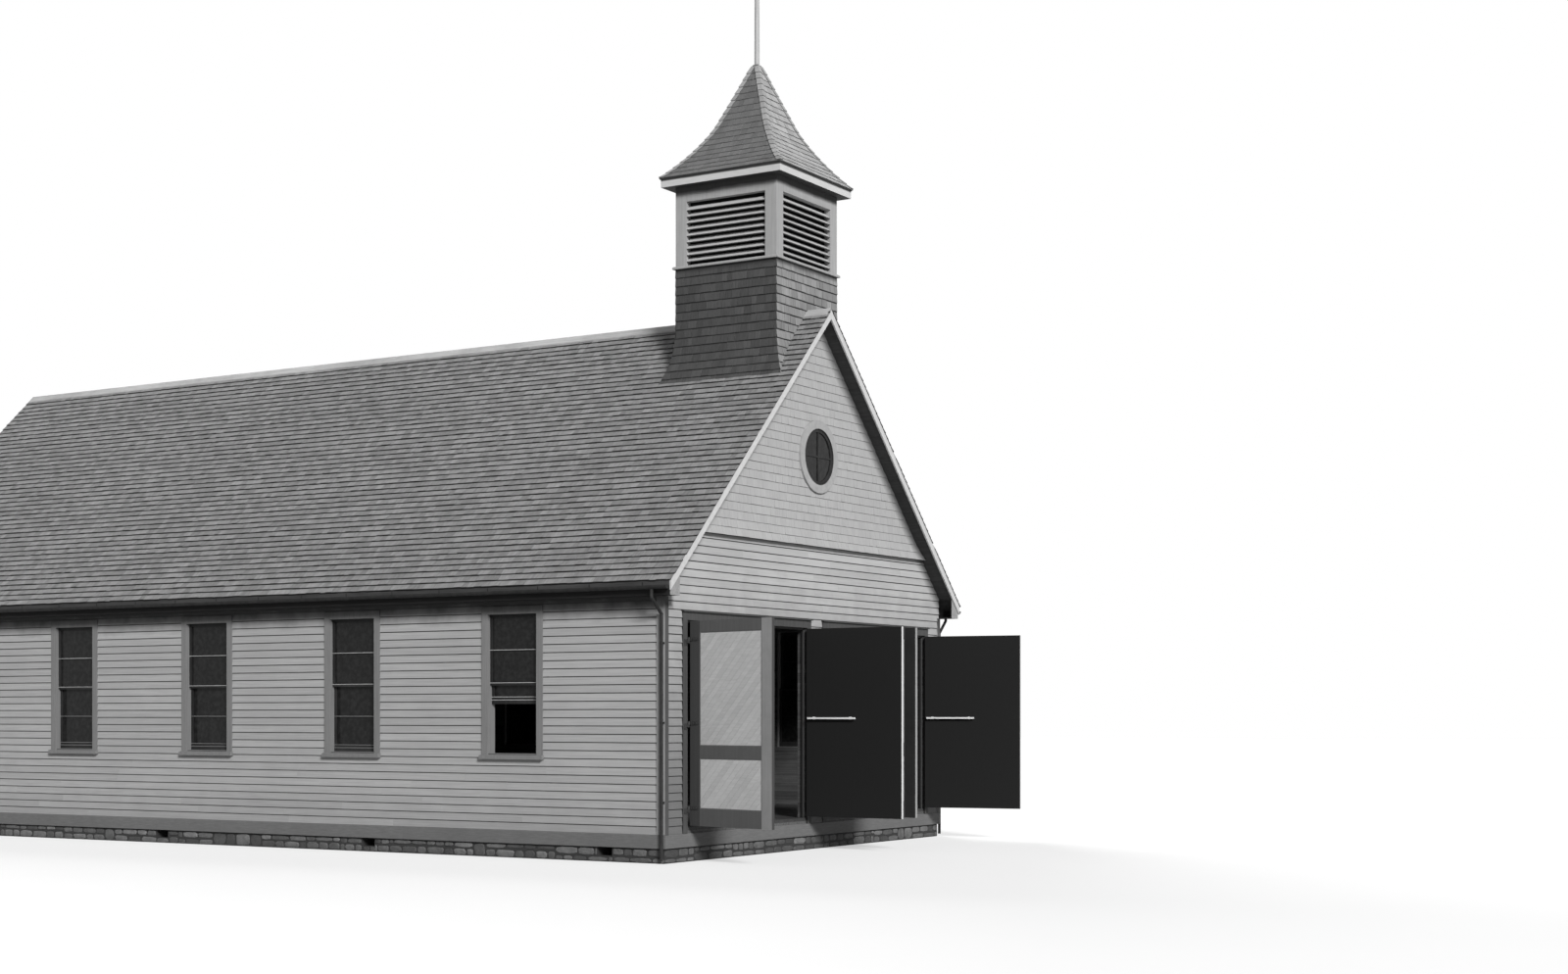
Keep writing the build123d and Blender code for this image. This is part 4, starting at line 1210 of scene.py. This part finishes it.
def leafFinish(leaf):                   # stiles, rails, free edge and inner face each their own grey, partly painted light and shade
    made, tree = newMaterial(leaf + "_paint")
    place = leafFrame(leaf)
    direction = tuple(place.to_3x3() @ Vector((1, 0, 0)))
    inward = tuple(place.to_3x3() @ Vector((0, 1, 0)))
    along = useGroup(tree, "alongLeaf", {"Hinge": tuple(place.translation), "Direction": direction})[0]
    left, right = leafSizes["panelLeft"], leafSizes["panelRight"]
    tones = {key: grey(tone[leaf] if isinstance(tone, dict) else tone) for key, tone in leafTones.items()}
    pastStile = span(tree, along, left - 0.004, left, 0.0, 1.0)
    pastPanel = span(tree, along, right, right + 0.004, 0.0, 1.0)
    colour = mixed(tree, pastStile, tones["hingeStile"], tones["rails"])
    colour = mixed(tree, pastPanel, colour, tones["freeStile"])
    grain = useGroup(tree, "solidGrain", {"Stretch": plumb})
    colour = shaded(tree, colour, span(tree, grain["Grain"], 0.0, 1.0, 1.06, 0.93))
    colour = veiled(tree, colour, useGroup(tree, "weatherStain")[0], 0.25, 0.05)
    colour = mixed(tree, useGroup(tree, "facing", {"Direction": direction})[0], colour, tones["freeEdge"])
    colour = mixed(tree, useGroup(tree, "facing", {"Direction": inward})[0], colour, tones["inside"])
    rough = span(tree, grain["Fibre"], *noiseSpan, 0.6, 0.85)
    return dressed(made, colour, rough, grain["Fibre"], 0.0006, specular=leafTones["specular"])


def addBolt(heap, chart):               # carriage bolt head with a rounded crown
    count = hardware["boltCorners"]
    rings = ((1.0, -0.0005), (1.0, 0.35), (0.8, 0.75), (0.45, 0.97))    # (share of the radius, lift)
    for scale, lift in rings:
        radius = hardware["boltRadius"] * scale
        depth = lift if lift < 0 else lift * hardware["boltHeight"]
        for k in range(count):
            angle = 2 * math.pi * k / count
            place = chart(radius * math.cos(angle), radius * math.sin(angle), depth)
            addPoint(heap, place, 0.5, (radius, angle, depth))
    joinRings(heap, count, len(rings))


def addBead(heap, chart, u0, u1, v0, v1, rng):
    size = leafSizes["bead"]
    section = ((0.0, 0.0), (0.0, 1.0), (0.35, 0.95), (0.7, 0.7), (0.95, 0.35), (1.0, 0.0))
    tone = rng.random()
    for inset, lift in section:
        d = inset * size
        for u, v in ((u0 + d, v0 + d), (u1 - d, v0 + d), (u1 - d, v1 - d), (u0 + d, v1 - d)):
            addPoint(heap, chart(u, v, lift * size * 0.8), tone, (u + v, d, lift))
    joinRings(heap, 4, len(section), looped=True)


def makeLeafDress(leaf):
    place = leafFrame(leaf)
    panelY = leafSizes["outerFace"] + leafSizes["setback"]

    def chart(u, v, depth):
        return place @ Vector((u, panelY - depth, v))
    rng = random.Random(leafSizes["seed"] + leafNames.index(leaf))
    boards = newHeap()
    beads = newHeap()
    bolts = newHeap()
    u0, u1 = leafSizes["panelLeft"], leafSizes["panelRight"]
    step = leafSizes["board"] * math.sqrt(2)
    gap = leafSizes["boardGap"] * math.sqrt(2)
    for v0, v1 in leafSizes["panels"]:
        height = v1 - v0
        start = u0 - height
        while start < u1:
            stop = start + step - gap
            outline = [(start, v0), (stop, v0), (stop + height, v1), (start + height, v1)]
            outline = clipped(clipped(outline, -1, 0, -u0), 1, 0, u1)
            if isWorthMaking(outline, 0.0001):
                addPlate(boards, chart, outline, lambda v: leafSizes["boardDepth"], -0.0005, rng)
            start += step
        addBead(beads, chart, u0, u1, v0, v1, rng)
    for level in hardware["hinges"]:
        for u in hardware["boltsAlong"]:
            face = hardware["strapFace"]
            addBolt(bolts, lambda a, b, depth: place @ Vector((u + a, face - depth, level + b)))
    makePiece(leaf + "_boards", boards, "doorBoards", leaf)
    makePiece(leaf + "_beads", beads, "doorBeads", leaf)
    makePiece(leaf + "_bolts", bolts, "iron", leaf, smooth=True)


for leafName in leafNames:
    makeLeafDress(leafName)


# Narrow light beads on the level bars and meeting rails of the sashes

sashes = {
    "clearHalf": 0.445,
    "height": 0.010,
    "proud": 0.006,
    "upperFace": -0.040,                # depth of each sash's face behind the wall's face
    "lowerFace": -0.078,
    "upperBeads": (2.9998, 2.524),
    "lowerBeads": (2.0382, 1.604, 1.560),
    "lift": 0.715,                      # the first lower sash on the left stands open
    "shutTone": 0.2,
}


def addHalfRound(heap, chart, u, v, face, tone):
    section = ((-1.0, -0.0005), (-0.9, 0.5), (-0.5, 0.9), (0.0, 1.0), (0.5, 0.9), (0.9, 0.5), (1.0, -0.0005))
    for end in (u - sashes["clearHalf"], u + sashes["clearHalf"]):
        for across, lift in section:
            depth = face + (lift if lift < 0 else lift * sashes["proud"])
            addPoint(heap, chart(end, v + across * sashes["height"] / 2, depth), tone, (end, v, depth))
    joinRings(heap, len(section), 2)


def makeSashBeads():
    heap = newHeap()
    for side, places in windowsOf.items():
        chart = wallChart(side)
        for k, u in enumerate(places):
            lift = sashes["lift"] if side == "left" and k == 0 else 0.0
            for v in sashes["upperBeads"]:
                addHalfRound(heap, chart, u, v, sashes["upperFace"], 1.0)
            tone = 1.0 if lift else sashes["shutTone"]
            for v in sashes["lowerBeads"]:
                addHalfRound(heap, chart, u, v + lift, sashes["lowerFace"], tone)
    makePiece("sash_beads", heap, "sashBead")


makeSashBeads()


# Straps that hold the gutters and the downspouts

straps = {
    "width": 0.020,
    "thick": 0.0014,
    "spacing": 0.90,
    "tail": 0.052,                      # how far a gutter strap climbs the roof's edge
    "shy": 0.0003,                      # how far it keeps inside the gutter's outline
    "bandLevels": (0.85, 1.95, 3.05),
    "bandHeight": 0.028,
    "boardThick": 0.025,                # corner board behind the downspout
    "pipeRadius": 0.024,
    "pipeGap": 0.012,
    "pipeClear": 0.0005,
    "earInner": 0.031,
    "earOuter": 0.052,
    "steps": 14,
}


def addBand(heap, stops, half):         # strip of metal along (place, normal) stops, half is half its width
    for k, (place, normal) in enumerate(stops):
        p = Vector(place)
        n = Vector(normal).normalized() * straps["thick"]
        for corner in (p - half, p + half, p + half + n, p - half + n):
            addPoint(heap, corner, 0.5, (k, 0, 0))
    joinRings(heap, 4, len(stops))


def makeGutterStraps():
    low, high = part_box("gutters")
    radius = high.z - low.z
    inner = radius - straps["shy"]
    half = Vector((0, straps["width"] / 2, 0))
    heap = newHeap()
    count = round((high.y - low.y) / straps["spacing"])
    for sign in (-1, 1):
        rim = sign * (high.x - 2 * radius)
        centre = sign * (high.x - radius)
        for k in range(count):
            y = low.y + (k + 0.5) * (high.y - low.y) / count
            stops = [((rim, y, high.z + straps["tail"]), (sign, 0, 0)), ((rim, y, high.z), (sign, 0, 0))]
            for i in range(1, straps["steps"] + 1):
                angle = math.pi * i / straps["steps"]
                across, down = -math.cos(angle), -math.sin(angle)
                place = (centre + sign * inner * across, y, high.z + radius * down)
                stops.append((place, (sign * across * 0.02, 0, -1)))
            addBand(heap, stops, half)
            bridge = [(rim, y, high.z), (sign * (high.x - straps["shy"]), y, high.z)]
            addBand(heap, [(place, (0, 0, 1)) for place in bridge], half)
    makePiece("gutter_straps", heap, "tin")


def makeDownspoutStraps():
    boardX = house["wallX"] + straps["boardThick"]
    pipeX = boardX + straps["pipeGap"] + straps["pipeRadius"]
    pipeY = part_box("downspouts")[0].y + straps["pipeRadius"]
    reach = straps["pipeRadius"] + straps["pipeClear"]
    heap = newHeap()
    for sign in (-1, 1):
        for level in straps["bandLevels"]:
            out = (sign, 0, 0)
            stops = [((sign * boardX, pipeY - straps["earInner"], level), out)]
            for i in range(straps["steps"] + 1):
                angle = math.pi * (i / straps["steps"] - 0.5)
                c, s = math.cos(angle), math.sin(angle)
                stops.append(((sign * (pipeX + reach * c), pipeY + reach * s, level), (sign * c, s, 0)))
            for ear in (straps["earInner"], straps["earOuter"]):
                stops.append(((sign * boardX, pipeY + ear, level), out))
            addBand(heap, stops, Vector((0, 0, straps["bandHeight"] / 2)))
    makePiece("downspout_straps", heap, "tin")


makeGutterStraps()
makeDownspoutStraps()


# Wire screens behind the belfry's louvres

screens = {
    "behind": 0.114,                    # from the belfry's outer face
    "clear": 0.005,                     # from its head and foot
    "thick": 0.003,
    "seed": 7,
}


def makeScreens():
    half = belfryHigh.x - screens["behind"]
    foot, top = belfryLow.z + screens["clear"], belfryHigh.z - screens["clear"]
    outline = [(-half, foot), (half, foot), (half, top), (-half, top)]
    heap = newHeap()
    rng = random.Random(screens["seed"])
    for turn in range(4):
        place = cupolaPlace(turn)
        addPlate(heap, lambda u, v, depth: place(u, half + depth, v), outline,
                 lambda v: screens["thick"], 0.0, rng)
    makePiece("belfry_screens", heap, "screen")


makeScreens()


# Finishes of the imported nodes

def paint(node, finish):
    piece = frame["nodes"][node]
    if piece.material_slots:
        for slot in piece.material_slots:
            slot.material = finish
    else:
        piece.data.materials.append(finish)


nodesOf = {
    "mortar": "foundation_sides foundation_ends",
    "sawnJoists": "floor_frame",
    "floorBoards": "floor",
    "baseBoard": "base_boards",
    "bareTimber": "side_wall_bases side_wall_piers side_wall_heads rear_wall_base end_wall_piers"
                  " end_wall_heads gable_walls",
    "roofDeck": "gable_shingling roof_left roof_right cupola_base",
    "cornerTrim": "corner_boards",
    "ridgeBoard": "ridge_cap",
    "rakePaint": "rake_boards",
    "soffitShadePaint": "rake_soffits",
    "eaveShadePaint": "eave_boxes",
    "tin": "gutters downspouts",
    "windowTrim": "window_frames",
    "sashPaint": "window_sashes",
    "pane": "window_glass",
    "roundCasing": "round_window_casing",
    "doorTrim": "door_casings door_stops",
    "iron": "door_pintles door_1_left_straps door_1_right_straps door_2_left_straps door_2_right_straps",
    "barPaint": "door_1_right_bar door_2_right_bar",
    "belfryPaint": "belfry_sill belfry_frame",
    "louvrePaint": "belfry_louvres",
    "cornicePaint": "cupola_cornice",
    "cupolaEdge": "cupola_roof",
    "polePaint": "flagpole",
}
for finishName, nodes in nodesOf.items():
    for nodeName in nodes.split():
        paint(nodeName, finishes[finishName])
for leafName in leafNames:
    leafPaint = leafFinish(leafName)
    paint(leafName + "_frame", leafPaint)
    paint(leafName + "_panels", leafPaint)
print("packed nodes painted")


# Stage, light and camera

studio = {
    "floorRadius": 160.0,
    "floorSides": 96,
    "floorMiddle": 8,
    "floorTone": 0.42,
    "floorGlow": 0.5,                   # seen by the camera and in reflections only
    "worldLevel": 0.2,
    "lamps": {                          # strength, spread in degrees, and where the light comes from
        "key_light": (4.4, 14.0, (-0.53, -0.71, 0.46)),
        "fill_light": (2.4, 30.0, (0.55, 0.70, 0.45)),      # for the sides that the key doesn't reach
    },
}
cameraPlace = {
    "eye": (-29.01, -17.205, 2.05),
    "towards": (0.8548, 0.5189, 0.0),
    "lens": 50.15,
    "sensor": 36.0,
    "shiftY": 0.1458,
    "farthest": 400,
}


def seenDirectly(tree):                 # 1 for camera, mirror and glass rays, 0 for light on the object
    path = add(tree, "ShaderNodeLightPath").outputs
    seen = plus(tree, path["Is Camera Ray"], path["Is Glossy Ray"])
    return maths(tree, "ADD", seen, path["Is Transmission Ray"], True)


def outsideOf(tree, axis, middle, half):
    away = maths(tree, "ABSOLUTE", minus(tree, axisOf(tree, axis), middle))
    return maths(tree, "GREATER_THAN", away, half - 0.1)


def makeStage():
    sides, radius = studio["floorSides"], studio["floorRadius"]
    turns = [a * math.pi / (sides / 2) for a in range(sides)]
    ring = [(radius * math.cos(a), studio["floorMiddle"] + radius * math.sin(a), 0) for a in turns]
    mesh = bpy.data.meshes.new("studio_floor")
    mesh.from_pydata(ring, [], [tuple(range(sides))])
    floor = newObject("studio_floor", mesh)
    made, tree = newMaterial("studioFloor")
    tone = studio["floorTone"]
    mottle = noise(tree, placeOf(tree), 0.4, 3.0)
    feed(tree, socketOf(made, "Base Color"), mixed(tree, mottle, grey(tone), grey(tone * 0.97)))
    socketOf(made, "Roughness").default_value = 0.9
    socketOf(made, "Specular IOR Level").default_value = 0.1
    halfY = (house["rearY"] - house["frontY"]) / 2
    outside = maths(tree, "MAXIMUM", outsideOf(tree, "X", 0.0, house["wallX"]),
                    outsideOf(tree, "Y", house["frontY"] + halfY, halfY))       # no glow under the building
    glow = times(tree, times(tree, seenDirectly(tree), outside), studio["floorGlow"])
    feed(tree, socketOf(made, "Emission Strength"), glow)
    socketOf(made, "Emission Color").default_value = (1, 1, 1, 1)
    mesh.materials.append(made)


def makeWorld():
    world = bpy.data.worlds.new("studioWorld")
    bpy.context.scene.world = world
    world.use_nodes = True
    tree = world.node_tree
    tree.nodes.clear()
    strength = span(tree, seenDirectly(tree), 0.0, 1.0, studio["worldLevel"], 1.0)
    backdrop = add(tree, "ShaderNodeBackground", None, {"Color": (1, 1, 1, 1), "Strength": strength})
    tree.links.new(backdrop.outputs[0], tree.nodes.new("ShaderNodeOutputWorld").inputs["Surface"])


def makeLamps():
    for name, (level, spread, source) in studio["lamps"].items():
        lamp = bpy.data.lights.new(name, "SUN")
        lamp.energy = level
        lamp.angle = math.radians(spread)
        newObject(name, lamp).rotation_euler = Vector(source).to_track_quat("Z", "Y").to_euler()


def makeCamera():
    lens = bpy.data.cameras.new("photo_camera")
    lens.lens = cameraPlace["lens"]
    lens.sensor_width = cameraPlace["sensor"]
    lens.shift_y = cameraPlace["shiftY"]
    lens.clip_end = cameraPlace["farthest"]
    camera = newObject("photo_camera", lens)
    camera.location = cameraPlace["eye"]
    camera.rotation_euler = Vector(cameraPlace["towards"]).to_track_quat("-Z", "Y").to_euler()
    bpy.context.scene.camera = camera


makeStage()
makeWorld()
makeLamps()
makeCamera()
bpy.context.scene.view_settings.view_transform = "Standard"
print("stage, light and camera made")
